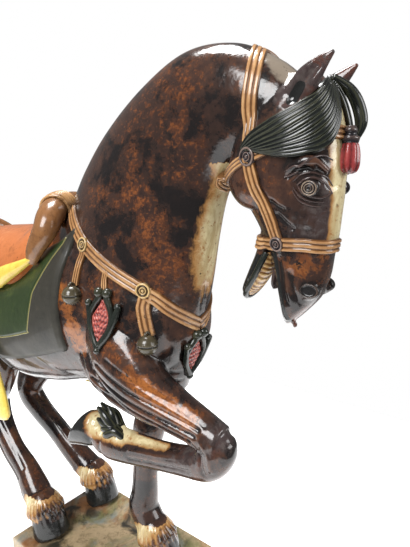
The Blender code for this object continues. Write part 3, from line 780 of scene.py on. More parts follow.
def body_paint(w, colour, run):
    """Rust and near-black mottling, then the areas painted by the vertex masks."""
    place = w.add("ShaderNodeTexCoord").outputs["Object"]
    spots = w.math("ADD", w.math("MULTIPLY", run.outputs["Cloud"], 0.8),
                   w.math("MULTIPLY", run.outputs["Mottle"], 1.25))
    spots = w.math("ADD", spots, w.math("MULTIPLY_ADD", w.read("warm"), 0.13, -0.25))
    colour = w.mix(w.step(spots, 0.82, 0.99), colour, BROWN_MOTTLE)
    grain = w.math("ADD", spots, w.math("MULTIPLY_ADD", run.outputs["Speck"], 1.3, -0.65))
    colour = w.mix(w.step(grain, 0.88, 1.20), colour, RUST)
    pool = w.math("ADD", w.noise(place, 27.0, 5.0, 0.66, 0.3),
                  w.math("MULTIPLY", run.outputs["Mottle"], 0.5))
    colour = w.mix(w.step(pool, 0.71, 0.86), colour, NEAR_BLACK)
    wobble = w.math("ADD", w.math("MULTIPLY_ADD", run.outputs["Streak"], 0.7, -0.35),
                    w.math("MULTIPLY_ADD", run.outputs["Mottle"], 0.6, -0.3))
    rough = w.math("ADD", w.math("MULTIPLY_ADD", run.outputs["Cloud"], 2.2, -1.1),
                   w.math("MULTIPLY_ADD", run.outputs["Mottle"], 1.8, -0.9))
    areas = (("umber", (0.040, 0.028, 0.027)), ("ochre", (0.25, 0.085, 0.021)),
             ("cream", (0.60, 0.52, 0.31)), ("grey", (0.16, 0.13, 0.10)),
             ("dark", (0.012, 0.0125, 0.012)))
    for name, tint in areas:
        patchy = rough if name == "ochre" else wobble
        reach = w.math("ADD", w.read(name), patchy)
        share = w.step(reach, 0.35, 0.6)
        if name == "umber":
            tint = w.mix(w.step(run.outputs["Cloud"], 0.50, 0.60), tint, WINE)
            # grey mottling on the face: partly the glaze's own varied tone, partly painted sheen standing
            # in for grey highlights
            tint = w.mix(w.step(run.outputs["Mottle"], 0.46, 0.62), tint, GREY_SHEEN_MOTTLE)
        if name == "ochre":
            stain = w.step(run.outputs["Mottle"], 0.44, 0.60)
            tint = w.mix(stain, tint, BURNT_OCHRE)
        if name == "cream":
            stain = w.step(w.noise(place, 170.0, 6.0, 0.7), 0.54, 0.68)
            tint = w.mix(w.step(run.outputs["Streak"], 0.42, 0.62), tint, STRAW)
            tint = w.mix(stain, tint, IRON_STAIN)
            tint = w.mix(w.step(reach, 0.5, 0.95), AMBER_EDGE, tint)
        colour = w.mix(share, colour, tint)
    return colour


def slab_paint(w, colour, run):
    """Olive, blue-grey and brown blotches over a sand ground."""
    place = w.add("ShaderNodeTexCoord").outputs["Object"]
    for scale, low, tint in ((17.0, 0.44, (0.13, 0.125, 0.05)), (21.0, 0.48, (0.18, 0.20, 0.19)),
                             (25.0, 0.48, (0.20, 0.09, 0.035)), (33.0, 0.50, (0.025, 0.022, 0.016))):
        colour = w.mix(w.step(w.noise(place, scale, 5.0, 0.62, 0.6), low, low + 0.16), colour, tint)
    return colour


print("rust is", round(RUST[0] / RUST[2], 1), "times as red as it is blue")

# %% The glazes
GLAZES = {
    "body": glaze("brown_glaze_run", (0.012, 0.009, 0.008), (0.032, 0.017, 0.013),
                  (0.075, 0.034, 0.020), roughness=0.17, uneven=0.0011, paint=body_paint),
    "fold": glaze("dark_fold_glaze", (0.012, 0.009, 0.009), (0.05, 0.03, 0.026),
                  (0.16, 0.11, 0.085)),
    "eye": glaze("eye_glaze", (0.010, 0.009, 0.009), (0.06, 0.042, 0.034), (0.24, 0.18, 0.13)),
    "strap": glaze("amber_strap_glaze", (0.11, 0.047, 0.016), (0.32, 0.165, 0.068),
                   (0.49, 0.30, 0.145)),
    "binding": glaze("pale_binding_glaze", (0.10, 0.045, 0.016), (0.42, 0.235, 0.10),
                     (0.58, 0.38, 0.19)),
    "hair": glaze("green_black_glaze", (0.005, 0.006, 0.005), (0.012, 0.015, 0.012),
                  (0.036, 0.036, 0.021)),
    "red": glaze("red_slip_glaze", (0.09, 0.012, 0.010), (0.27, 0.040, 0.032), (0.46, 0.13, 0.10)),
    "tassel": glaze("burgundy_glaze", (0.07, 0.010, 0.010), (0.20, 0.026, 0.026), (0.36, 0.075, 0.07)),
    "knob": glaze("dark_knob_glaze", (0.012, 0.010, 0.012), (0.04, 0.028, 0.026),
                  (0.16, 0.11, 0.09)),
    "stud": glaze("amber_stud_glaze", (0.05, 0.03, 0.012), (0.22, 0.14, 0.055), (0.50, 0.34, 0.15)),
    "seat": glaze("orange_seat_glaze", (0.22, 0.07, 0.02), (0.40, 0.125, 0.040),
                  (0.56, 0.24, 0.095)),
    "pommel": glaze("brown_pommel_glaze", (0.06, 0.026, 0.010), (0.19, 0.086, 0.033),
                    (0.42, 0.22, 0.075)),
    "yellow": glaze("yellow_cover_glaze", (0.42, 0.25, 0.04), (0.62, 0.45, 0.075),
                    (0.74, 0.60, 0.19)),
    "green": glaze("green_cloth_glaze", (0.008, 0.013, 0.005), (0.019, 0.033, 0.010),
                   (0.072, 0.095, 0.026), roughness=0.4, coat=0.2),
    "border": glaze("olive_border_glaze", (0.010, 0.010, 0.008), (0.028, 0.026, 0.020),
                    (0.065, 0.058, 0.042), roughness=0.46, coat=0.12),
    "gold": glaze("gold_line_glaze", (0.06, 0.05, 0.014), (0.17, 0.155, 0.055), (0.29, 0.26, 0.11)),
    "bell": glaze("olive_bell_glaze", (0.014, 0.012, 0.007), (0.058, 0.047, 0.027),
                  (0.15, 0.125, 0.075)),
    "straw": glaze("straw_mouth_glaze", (0.22, 0.10, 0.03), (0.55, 0.34, 0.13), (0.78, 0.58, 0.30)),
    "base": glaze("mottled_slab_glaze", (0.14, 0.10, 0.05), (0.36, 0.27, 0.16),
                  (0.52, 0.42, 0.28), roughness=0.4, paint=slab_paint),
}
print("glazes:", len(GLAZES))

# %% [markdown]
# ## Painted areas of the body
#
# Cream runs down the throat and the blaze and covers the fetlocks, ochre shows on the shoulder and the
# raised forearm, and the lips and hooves are green-black.

# %% Body masks


def near_path(points, path, radius):
    """1 on the path falling to 0 at the radius, by distance to its segments."""
    return np.clip(1 - distance_to(points, path) / radius, 0, 1)


def convexity(piece, reach=4):
    """-1 in hollows to +1 on ridges: how far a corner stands out of its smoothed surroundings."""
    points, normals = corners_of(piece)
    mesh = piece.data
    edges = np.zeros(len(mesh.edges) * 2, np.int32)
    mesh.edges.foreach_get("vertices", edges)
    a, b = edges.reshape(-1, 2).T
    count = np.bincount(np.concatenate([a, b]), minlength=len(points))[:, None]
    smooth = points.copy()
    for _ in range(reach):
        total = np.zeros_like(smooth)
        np.add.at(total, a, smooth[b])
        np.add.at(total, b, smooth[a])
        smooth = total / count
    return np.clip(np.sum((points - smooth) * normals, axis=1) / 0.3, -1, 1)


print("corners to paint:", len(body.data.vertices))

# %% Cream throat, blaze, cannon and fetlocks
points = corners_of(body)[0]
x, y, z = points.T
THROAT_EDGE = ((270, 300, 318, 340, 354, 366, 373, 389), (124, 124, 125, 127, 130, 134, 138, 144))
throat = np.clip(0.35 + (x - np.interp(z, *THROAT_EDGE)) / 22, 0, 0.75)
throat *= (x < 155) * (z < 396) * np.clip((z - 250) / 40, 0, 1) * (np.abs(y) < 30)
blaze = near_path(points, [(226, -3, 424), (231, -3, 400), (232, 1, 372), (230, 3, 348)], 17)
blaze *= z > 342
cannon = np.maximum(near_path(points, [(30, -38, 168), (48, -36, 168), (62, -36, 170)], 17),
                    near_path(points, [(60, -40, 171), (84, -38, 173), (108, -37, 177)], 9))
feathers = [1.6 * near_path(points, [(sx - 16, sy, 32), (sx - 10, sy, 24)], 24) * (z > 16) * (z < 43)
            for sx, sy in SOLES]
mark(body, "cream", np.clip(1.9 * np.max([throat, blaze, cannon] + feathers, axis=0), 0, 1))
print("cream corners:", int(np.sum(throat > 0.5)), "on the throat")

# %% Ochre, umber, and grey with a painted sheen on the crown
shoulder = near_path(points, [(10, -55, 292), (18, -55, 270), (24, -50, 246)], 20)
shoulder_far = near_path(points, [(10, 55, 292), (18, 55, 270), (24, 50, 246)], 20)
forearm = near_path(points, [(86, -50, 234), (112, -48, 222), (140, -40, 211)], 14)
muzzle = 1.15 * near_path(points, [(214, 0, 338), (210, 0, 326)], 27) * (z > 314)
mark(body, "ochre", np.max([0.8 * shoulder, 0.8 * shoulder_far, 0.9 * forearm, muzzle], axis=0))
ears = np.max([near_path(points, [(202, s * 16, 432), (213, s * 18, 442), (229, s * 19, 455)], 15)
               for s in (-1, 1)], axis=0)
face = near_path(points, [(222, 0, 392), (224, 0, 372), (214, 0, 352)], 38)
nose = near_path(points, [(214, 0, 304), (204, 0, 292)], 17)
knee = near_path(points, [(158, -30, 196), (156, -30, 180), (120, -31, 160)], 24)
mark(body, "umber", np.max([1.6 * ears, 0.9 * face, nose, knee], axis=0))
# painted reflection: a grey patch on the crown, between the crown strap and the ear, stands in for the soft
# sheen of the crest; the grey of the palate is its own colour
crown_sheen = np.max([near_path(points, [(184, s * 8, 466), (200, s * 12, 450)], 18) for s in (-1, 1)], axis=0)
palate = 0.7 * near_path(points, [(189, 0, 314), (192, 0, 300)], 7)
mark(body, "grey", np.maximum(crown_sheen, palate))
print("ochre corners on the muzzle:", int(np.sum(muzzle > 0.5)))

# %% Green-black lips and hooves, painted shade in the ear pits, and the relief
flat = points[:, [0, 2]]
lip_line = np.clip(1 - distance_to(flat, [(191, 335), (193, 324), (194, 314), (197, 302), (200, 290)])
                   / 3.6, 0, 1)
jaw = np.clip(1 - distance_to(flat, [(174, 332), (170, 320), (164, 307)]) / 8, 0, 1) * (z < 334)
# painted shade: the deep lower part of each ear hollow is painted green-black
ear_pit_shade = [near_path(points, [(204, s * 20, 430), (209, s * 21, 437)], 5.0) for s in (-1, 1)]
hooves = [near_path(points, [(sx, sy, 4), (sx, sy, 8)], 30) * (z < 22) for sx, sy in SOLES]
hooves.append(near_path(points, [(0, -36, 158), (14, -36, 158)], 27) * (x < 34 - 0.45 * (z - 144)))
tuft = near_path(points, [(50, -34, 174), (30, -34, 188)], 10)
mark(body, "dark", np.clip(2.0 * np.max([lip_line, jaw, tuft] + ear_pit_shade + hooves, axis=0), 0, 1))
warm = np.max([near_path(points, [(104, s * 28, 440), (94, s * 32, 390), (86, s * 40, 340)], 55)
               for s in (-1, 1)] + [near_path(points, [(40, s * 50, 300), (72, s * 48, 262)], 34)
               for s in (-1, 1)], axis=0)
mark(body, "warm", np.clip(1.6 * warm, 0, 1))
mark(body, "relief", convexity(body))
body.data.shade_smooth()
body.data.materials.clear()
body.data.materials.append(GLAZES["body"])
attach(body, "root")
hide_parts("horse")
print("numbers kept on the body:", [a.name for a in body.data.attributes if a.data_type == "FLOAT"])

# %% [markdown]
# ## Saddle and covers
#
# A padded seat lies between a high pommel roll and a low cantle. A yellow cover is folded under it, with
# an end hanging down each flank, and a green cloth with an olive border lies on the barrel.

# %% Saddle


def mirrored(half, apex):
    """Stations of a roll from one flank over its top to the other."""
    return half + [apex] + [(x, -y, z, deep, wide) for x, y, z, deep, wide in reversed(half)]


POMMEL = mirrored([(-33, -54, 313, 5, 6), (-26, -54, 325, 7.5, 8.5), (-16, -50, 341, 10, 11.5),
                   (-19, -41, 353, 12, 12.5), (-28, -27, 360, 12, 12), (-37, -11, 362, 11.5, 11.5)],
                  (-41, 0, 363, 11.5, 11.5))
CANTLE = mirrored([(-188, -52, 290, 8, 8), (-196, -46, 305, 9, 9), (-206, -30, 318, 10, 10),
                   (-212, -14, 330, 10, 10)], (-213, 0, 334, 10, 10))


def coil(path, share, grow, thick, slant=0.0):
    """Ring of binding round a roll at a share of its path, following the roll's own oval."""
    table = spread(path, 241)
    k = int(share * 240)
    centre = table[:, :3]
    run, side, depth = frames(centre, (1, 0, 0))
    turn = np.append(angles(48), 2 * math.pi)[:, None]
    ring = (centre[k] + (table[k, 3] + grow) * depth[k] * np.cos(turn)
            + (table[k, 4] + grow) * side[k] * np.sin(turn) + slant * run[k] * np.cos(turn))
    return limb(np.column_stack([ring, np.full((49, 2), thick)]), 97, 10, broad=run[k])


pieces = [
    make("saddle_seat", [limb([
        (-206, 0, 290, 44, 44), (-190, 0, 290, 42, 48), (-158, 0, 290, 46, 53),
        (-115, 0, 291, 48, 56), (-72, 0, 296, 47, 56), (-48, 0, 302, 50, 52),
        (-26, 0, 308, 44, 46)], 60, 72)], GLAZES["seat"]),
    make("pommel_roll", [limb(POMMEL, 120, 40, broad=(1, 0, 0))], GLAZES["pommel"]),
    make("cantle_roll", [limb(CANTLE, 80, 32, broad=(1, 0, 0))], GLAZES["pommel"]),
    make("pommel_binding", [coil(POMMEL, t, 1.2, 1.4, 1.2) for side_shares in
                            (np.linspace(0.305, 0.385, 5), np.linspace(0.615, 0.695, 5))
                            for t in side_shares], GLAZES["binding"]),
]
for s, name in ((-1, "near"), (1, "far")):
    pieces.append(make("yellow_roll_" + name, [limb([
        (-26, s * 56, 317, 2, 3), (-60, s * 60, 302, 7, 6), (-104, s * 61, 286, 11, 6),
        (-150, s * 58, 290, 8, 6), (-182, s * 52, 300, 3, 4)], 50, 24)], GLAZES["yellow"]))
    pieces.append(make("yellow_end_" + name, [limb([
        (-112, s * 60, 292, 12, 5), (-112, s * 63.9, 250, 13, 4), (-110, s * 63, 205, 14, 4),
        (-106, s * 60, 165, 17, 5), (-104, s * 59, 145, 17, 5), (-103, s * 58, 138, 10, 3)],
        60, 24)], GLAZES["yellow"]))

print("saddle pieces:", len(pieces))

# %% [markdown]
# ## Saddle cloth
#
# The cloth was rolled out as a thin sheet and pressed on the flank. Each sheet is a grid between its four
# edges, sent inward along Y until it meets the skin, smoothed a little, and given a thickness.

# %% Saddle cloth
CLOTH_FRONT = ((232, 3), (239, 7), (253, 5), (279, 3), (301, 6), (315, 9), (329, 11), (345, 16))
TUCK = 5.0                   # mm of each sheet that lie inside the body
PANEL_FRONT = ((245, -38), (286, -27), (308, -12), (339, 9))


def cloth_low(u):
    """Lower edge of the cloth: 204 + 31 max(0, (u - .45) / .55)^1.3."""
    return 204 + 31 * max(0.0, (u - 0.45) / 0.55)**1.3


def panel_low(u):
    """Lower edge of the green panel: 227 + 18 max(0, (u - .55) / .45)^1.3."""
    return 227 + 18 * max(0.0, (u - 0.55) / 0.45)**1.3


def flank_sheet(side, low, tops, front_edge, rear, lift, rows=60, cols=90):
    """Sheet on a flank between a lower edge, an upper edge, a front edge x(z) and a rear edge."""
    grid = np.zeros((rows, cols, 3))
    for i, v in enumerate(np.linspace(0, 1, rows)):
        for j, u in enumerate(np.linspace(0, 1, cols)):
            bottom = low(u)
            z = bottom + (float(np.interp(u, (0.0, 0.75, 1.0), tops)) - bottom) * v
            front = float(np.interp(z, *zip(*front_edge)))
            x = rear - 6 * v + (front - rear + 6 * v) * u
            grid[i, j] = (x, skin.flank(x, z, side), z)
    soft = grid[..., 1]
    for _ in range(4):
        soft[1:-1] = (soft[:-2] + 2 * soft[1:-1] + soft[2:]) / 4
        soft[:, 1:-1] = (soft[:, :-2] + 2 * soft[:, 1:-1] + soft[:, 2:]) / 4
    u = np.linspace(0, 1, cols)[None]
    v = np.linspace(0, 1, rows)[:, None]
    edge = np.minimum(np.minimum(u, 1 - u) * cols, np.minimum(v, 1 - v) * rows)
    out = grid + np.array([0, side, 0]) * (lift * np.clip(edge / 2, 0.4, 1)**0.5)[..., None]
    into = grid - np.array([0, side * TUCK, 0])
    n = rows * cols
    index = np.arange(n).reshape(rows, cols)
    a = index[:-1, :-1].ravel()
    quads = np.stack([a, a + 1, a + cols + 1, a + cols], 1)
    rim = np.concatenate([index[0, :-1], index[:-1, -1], index[-1, :0:-1], index[:0:-1, 0]])
    after = np.roll(rim, -1)
    around = np.stack([rim, rim + n, after + n, after], 1)
    faces = quads.tolist() + (quads[:, ::-1] + n).tolist() + around.tolist()
    return (np.vstack([out.reshape(-1, 3), into.reshape(-1, 3)]), faces), out


for s, name in ((-1, "near"), (1, "far")):
    border, _ = flank_sheet(s, cloth_low, (304, 312, 345), CLOTH_FRONT, -196, 3.9)
    panel, face = flank_sheet(s, panel_low, (304, 312, 339), PANEL_FRONT, -190, 4.5)
    pieces.append(make("cloth_border_" + name, [border], GLAZES["border"]))
    pieces.append(make("cloth_panel_" + name, [panel], GLAZES["green"]))
    line = np.vstack([face[1, 1::4], face[2::4, -2]]) + (0, 0.5 * s, 0)
    pieces.append(make("gold_line_" + name, [limb(np.column_stack([line, np.full((len(line), 2), 0.8)]),
                                                  150, 8, broad=(0, 1, 0.2))], GLAZES["gold"]))

print("pieces with the cloth:", len(pieces))

# %% [markdown]
# ## Straps, rosettes, bells and pendants
#
# The tack was rolled out flat with two grooves along it, laid on the wet body and pressed down, so every
# strap follows the skin under it. Studs, bells and leaves were pressed in small moulds.

# %% Straps
STRAP_WIDTH = 12.0
BRIDLE_WIDTH = 9.0
CORD_WIDTH = 5.5
BELL_RADIUS = 8.2
ROSETTE_RADIUS = 6.2


def strap(route, width, lift=2.1, sink=3.0, count=60, across=25):
    """Flat strap with three pale ribs and two grooves, laid on the skin along a route."""
    centre, normal = skin.nearest(spread(route, count))
    run = unit(np.gradient(centre, axis=0))
    normal = unit(normal - run * np.sum(normal * run, axis=1, keepdims=True))
    for _ in range(12):
        normal[1:-1] = unit(normal[:-2] + 2 * normal[1:-1] + normal[2:])
        centre[1:-1] = (centre[:-2] + 2 * centre[1:-1] + centre[2:]) / 4
    over = np.cross(run, normal)
    u = np.linspace(-1, 1, across)
    groove = np.exp(-((np.abs(u) - 0.36) / 0.09)**2)
    edge_fall = np.clip((1 - np.abs(u)) / 0.16, 0, 1)**0.5
    rise = lift * (0.35 + 0.65 * edge_fall) * (1 - 0.42 * groove)
    rows = []
    for share, height in zip(u, rise):
        edge, _ = skin.nearest(centre + over * width / 2 * share)
        rows.append(edge + normal * height)
    rows += [rows[-1] - normal * (lift + sink), rows[0] - normal * (lift + sink)]
    relief = np.append(0.45 * np.cos(2 * math.pi * np.abs(u) / 0.72) * (np.abs(u) < 0.9)
                       - 1.0 * groove - 0.7 * (np.abs(u) >= 0.9), (-1, -1))
    return closed(np.stack(rows, axis=1)), np.append(np.tile(relief, count), (0, 0))


def tack(name, made, material):
    """One piece from strap shells, keeping each one's relief numbers."""
    return make(name, [m[0] for m in made], material, np.concatenate([m[1] for m in made]))


print("strap width:", STRAP_WIDTH, "mm on the breast and", BRIDLE_WIDTH, "mm on the head")

# %% Studs and bells


def set_on(place):
    """Skin point, outward normal and two directions along the skin."""
    centre, normal = (v[0] for v in skin.nearest([place]))
    aside = unit(np.cross(normal, [0.0, 0.3, 1.0]))
    return centre, normal, aside, np.cross(normal, aside)


def turned(place, profile, sides=48, stretch=1.0):
    """Turned form (radius, height, relief) on the skin, stretched along it."""
    centre, normal, aside, over = set_on(place)
    turn = angles(sides)
    table = spread(profile, 4 * len(profile))
    spoke = stretch * aside * np.cos(turn)[:, None] + over * np.sin(turn)[:, None]
    rings = centre + spoke[None] * table[:, 0, None, None] + normal * table[:, 1, None, None]
    return closed(rings), np.append(np.repeat(table[:, 2], sides), (0, 1))


def rosette(place, r=ROSETTE_RADIUS):
    """Stud with a rim, a sunk ring and a boss."""
    return turned(place, [(r, -3, -1), (r, 2.2, 0.2), (0.94 * r, 3.3, 1), (0.8 * r, 3.4, 0.8),
                          (0.68 * r, 2.3, -1.2), (0.56 * r, 2.3, -1), (0.46 * r, 3.3, 0.9),
                          (0.36 * r, 3.2, 0.4), (0.28 * r, 2.6, -1), (0.18 * r, 3.4, 0.4),
                          (0.1, 3.8, 0.8)])


def bell(place, r=BELL_RADIUS):
    """Round bell with a low band and a slit, two thirds out of the body, hung from a small hoop."""
    centre, normal, _, _ = set_on(place)
    centre = centre + normal * r * 0.45
    lift = np.linspace(-math.pi / 2, math.pi / 2, 42)[1:-1, None]
    turn = angles(48)[None]
    band = np.exp(-((np.abs(lift) - 0.17) / 0.05)**2)
    slit = np.exp(-(lift / 0.07)**2) * (np.sin(turn * 2)**2 > 0.06)
    size = r * (1 + 0.035 * band - 0.05 * slit)
    rings = np.stack([size * np.cos(lift) * np.cos(turn), size * np.cos(lift) * np.sin(turn),
                      size * np.sin(lift)], -1)
    loop = centre + (0, 0, 0.95 * r)
    ring = loop + 2.4 * np.stack([0 * angles(16), np.cos(angles(16)), np.sin(angles(16))], 1)
    hoop = limb(np.column_stack([np.vstack([ring, ring[:1]]), np.full((17, 2), 1.1)]), 24, 10,
                broad=(1, 0, 0))
    relief = (0.6 * band - 1.2 * slit).ravel()
    return [(closed(centre + rings), np.append(relief, (0, 0))), (hoop, np.zeros(len(hoop[0])))]


print("bell:", 2 * BELL_RADIUS, "mm across")

# %% [markdown]
# ### Leaf pendants
#
# A pendant is a dark frame of rolled clay round a red field. The frame is a few tubes drawn by their share
# of the pendant's length and their offset across it. The field is a low dome with small curls pressed in.

# %% Pendants


def pendant(top, foot, front=1.0):
    """Leaf pendant: knotted head, carved lozenge in a dark frame, a bead lobe and a front curl."""
    start, normal = (v[0] for v in skin.nearest([top]))
    end = skin.nearest([foot])[0][0]
    run = end - start
    over = front * unit(np.cross(normal, run))

    def line(stations, high=1.8, rings=40):
        """Tube through (share of the run, offset across, radius)."""
        table = np.asarray(stations, float)
        path = start + run * table[:, :1] + over * table[:, 1:2] + normal * high
        tube = limb(np.column_stack([path, table[:, 2], table[:, 2]]), rings, 14, broad=normal)
        return tube, np.full(len(tube[0]), 0.1)

    dark = [
        line([(0.0, -2.5, 3.0), (0.14, -4, 2.8), (0.26, -7.5, 2.4), (0.42, -10.6, 2.2),
              (0.60, -9.6, 2.3), (0.78, -5, 2.4), (0.96, 0.5, 3.0), (1.02, 1, 1.5)]),
        line([(0.0, 2.5, 3.0), (0.14, 4.5, 3.0), (0.26, 8, 2.8), (0.42, 10.6, 2.6),
              (0.60, 9.6, 2.6), (0.78, 5.5, 2.6), (0.96, 0.5, 3.0)]),
        line([(0.92, 1.5, 2.6), (0.74, 8, 2.8), (0.54, 12, 2.8), (0.36, 14.5, 2.7),
              (0.24, 16, 2.4), (0.21, 14.5, 2.2), (0.25, 13, 1.4)], 2.2),
        line([(0.50, -10.5, 2.0), (0.36, -12.5, 2.0), (0.27, -13.2, 2.3)], 2.0),
    ]
    for share, across, r in ((0.045, -4.0, 4.2), (0.035, 4.2, 4.2), (0.24, -13.2, 2.9),
                             (1.0, 0.8, 3.0)):
        knob = ball(start + run * share + over * across + normal * 2.6, (r, r, r))
        dark.append((knob, np.full(len(knob[0]), 0.5)))
    t = np.linspace(0.0, 1.0, 70)
    wide = 8.4 * np.interp(t, (0, 0.12, 0.28, 0.42, 0.6, 0.8, 1), (0.12, 0.3, 0.72, 1, 0.9, 0.52, 0.06))
    u = np.linspace(-1, 1, 37)
    a, b = t[:, None] * 34, wide[:, None] * u[None]
    curls = np.cos(1.35 * a + 0.9 * np.abs(b)) * np.cos(1.1 * b + 0.6 * np.sin(0.7 * a))
    curls = np.clip(1.6 * curls, -1, 1)
    rim = np.clip((np.abs(u)[None] - 0.8) / 0.15, 0, 1)
    dome = 2.2 * (1 - 0.9 * u**2)[None]**0.6 * np.sin(math.pi * np.clip(t, 0.03, 0.97))[:, None]**0.35
    high = 1.0 + dome + 0.55 * curls * (1 - rim)
    share = (0.16 + 0.72 * t)[:, None, None]
    face = start + run * share + over * b[..., None] + normal * high[..., None]
    under = start + run * share + over * b[:, ::-1, None] - normal * 4
    lozenge = closed(np.concatenate([face, under], axis=1))
    carved = np.concatenate([0.9 * curls * (1 - rim) + 0.7 * rim, 0 * curls], axis=1)
    return dark, (lozenge, np.append(carved.ravel(), (0, 0)))


print("studs:", 2 * ROSETTE_RADIUS, "mm across")

# %% Bridle and harness
bridle, harness, head_studs, studs, bells, frames_made, lozenges = [], [], [], [], [], [], []
for s in (-1, 1):
    bridle += [
        strap([(172, 0, 476), (176, s * 14, 466), (178, s * 25, 450), (177, s * 28, 434),
               (176.5, s * 28, 416), (177, s * 28, 398)], 1.2 * BRIDLE_WIDTH, lift=1.7),
        strap([(177, s * 28, 398), (194, s * 28, 404), (212, s * 27, 410), (228, s * 14, 412),
               (233, 0, 412)], BRIDLE_WIDTH),
        strap([(177, s * 28, 398), (182, s * 27, 380), (190, s * 22, 360), (196, s * 18, 342)],
              BRIDLE_WIDTH),
        strap([(177, s * 28, 398), (168, s * 26, 394), (156, s * 22, 386), (147, s * 12, 380),
               (144, 0, 378)], 0.8 * BRIDLE_WIDTH),
        strap([(176, 0, 342), (180, s * 12, 341), (194, s * 18, 342), (212, s * 17, 343),
               (225, s * 12, 342), (231, 0, 342)], BRIDLE_WIDTH)]
    harness.append(strap([(-4, s * 40, 362), (8, s * 52, 350), (28, s * 56, 334),
                          (55, s * 56, 318), (94, s * 46, 299), (114, s * 26, 282),
                          (122, 0, 268)], STRAP_WIDTH, count=110))
    harness.append(strap([(28, s * 58, 332), (27, s * 60, 314), (26, s * 60, 300)],
                         0.8 * BRIDLE_WIDTH))
    rearward = 11 * (1 + s)
    fall = 308 - 3 * (1 - s)
    harness.append(strap([(97 - rearward, s * 48, fall), (98 - rearward, s * 48, 284),
                          (100 - rearward, s * 45, 265)], STRAP_WIDTH))
    harness.append(strap([(58, s * 58, 314), (60, s * 58, 300)], CORD_WIDTH, count=12))
    head_studs += [rosette((177, s * 30, 398)), rosette((195, s * 22, 342), 5.0)]
    studs += [rosette((28, s * 58, 334)), rosette((95, s * 48, 300))]
    bells += bell((26, s * 60, 291)) + bell((101 - rearward, s * 47, 258))
    dark, red = pendant((60, s * 58, 300), (56, s * 58, 250), -s)
    frames_made += dark
    lozenges.append(red)
dark, red = pendant((128, 0, 262), (117, 0, 217))
frames_made += dark
lozenges.append(red)
pieces += [tack("bridle", bridle, GLAZES["strap"]), tack("breast_harness", harness, GLAZES["strap"]),
           tack("head_rosettes", head_studs, GLAZES["knob"]), tack("rosettes", studs, GLAZES["stud"]),
           tack("bells", bells, GLAZES["bell"]),
           tack("pendant_frames", frames_made, GLAZES["hair"]),
           tack("pendant_leaves", lozenges, GLAZES["red"])]
print("straps:", len(bridle) + len(harness), "bells:", len(bells) // 2, "pendants:", len(lozenges))

# %% [markdown]
# ## Eyes and mouth
#
# The eye is a turned boss with rings for the pupil and iris, between almond lids and a few parallel
# folds. The lower jaw hangs open: a black lip runs round a straw-coloured bed, with the tongue above it.

# %% Face pieces


def fold(side, route, radius, lift=0.3, relief=0.15):
    """Raised line on the skin of one side along a route (x, z), thinning to both ends."""
    count = 40
    line = spread(route, count)
    out = np.array([skin.flank(fx, fz, side) for fx, fz in line])
    for _ in range(12):
        out[1:-1] = (out[:-2] + 2 * out[1:-1] + out[2:]) / 4
    thick = radius * (0.35 + 0.65 * np.sin(np.linspace(0.1, math.pi - 0.1, count)))
    tube = limb(np.column_stack([line[:, 0], out + side * lift, line[:, 1], thick, thick]), 60, 12,
                broad=(0, 1, 0))
    return tube, np.full(len(tube[0]), relief)


eyes, folds = [], []
for s in (-1, 1):
    eyes.append(turned((220.5, s * 27, 378.6), [
        (5.0, -2.5, -1), (4.8, 0.0, -1.0), (4.3, 0.7, 0.6), (3.8, 0.9, 0.7), (3.4, 0.5, -1.3),
        (2.8, 1.1, 0.7), (2.4, 1.2, 0.5), (1.9, 0.8, -1.3), (1.3, 1.4, 0.4), (0.8, 1.2, -1.3),
        (0.1, 1.1, -1.3)], stretch=1.1))
    for route, radius in (
            ([(211, 380.5), (215, 383.4), (220, 384.6), (225, 382), (228.5, 375.5)], 1.0),
            ([(211, 380.5), (214, 376), (218.5, 373.8), (224, 373), (228.5, 375.5)], 0.95),
            ([(208.5, 382.5), (213.5, 386.6), (220, 387.6), (225.5, 385), (228, 380)], 0.75),
            ([(208.5, 379), (212.5, 373.8), (218, 371), (225, 370)], 0.75),
            ([(208, 377), (212, 371.2), (218, 368.2), (224, 367.4)], 0.65),
            ([(204, 388.5), (210, 391.5), (214, 391.5), (219, 395), (224.5, 397.5), (228.5, 395)], 0.9),
            ([(203, 385), (207, 386.5), (212, 388.5)], 0.75)):
        folds.append(fold(s, route, radius))
    eyes.append(turned((218.2, s * 17, 314), [
        (5.2, -3, -0.9), (5.0, 0.3, -0.7), (4.5, 1.1, -0.2), (4.0, 1.3, 0.0), (3.5, 0.9, -1.2),
        (2.8, 0.5, -2), (0.1, 0.4, -2)], stretch=1.3))
pieces += [tack("eyes_and_nostrils", eyes, GLAZES["eye"]), tack("eyelids", folds, GLAZES["fold"])]

print("eyes and nostrils:", len(eyes), "folds:", len(folds))

# %% Open mouth
lip_half = [(183, -9.5, 335), (180.5, -11, 329), (174.5, -11.4, 317), (168.5, -10, 307.5),
            (165.0, -5.8, 302)]
lip = lip_half + [(164, 0, 300.5)] + [(lx, -ly, lz) for lx, ly, lz in reversed(lip_half)]
lip_tube = limb([(*p, 2.2, 2.2) for p in lip], 110, 14, broad=(0.9, 0, -0.42))
pieces.append(make("lower_lip", [lip_tube], GLAZES["hair"]))
bed_rings, bed_sides = 110, 32
BED_RIPPLES = 88.0           # radians over the length
bed = limb([(185, 0, 337, 2.0, 7.0), (181.5, 0, 329, 3.4, 9.6), (175.5, 0, 316.5, 3.6, 10),
            (169, 0, 307, 3.2, 8.6), (165.5, 0, 302, 1.6, 4.6)], bed_rings, bed_sides)
along = np.linspace(0, 1, bed_rings)[:, None]
ripple = np.cos(BED_RIPPLES * along + 2.6 * np.cos(angles(bed_sides))[None] + 1.2 * np.sin(17 * along))
bed_points = bed[0].copy()
bed_points[:-2] += np.repeat([[0.2, 0, -0.1]], bed_rings * bed_sides, axis=0) * ripple.reshape(-1, 1)
pieces.append(make("mouth_bed", [(bed_points, bed[1])], GLAZES["straw"],
                   np.append(0.6 * ripple.ravel() - 0.2, (0, 0))))
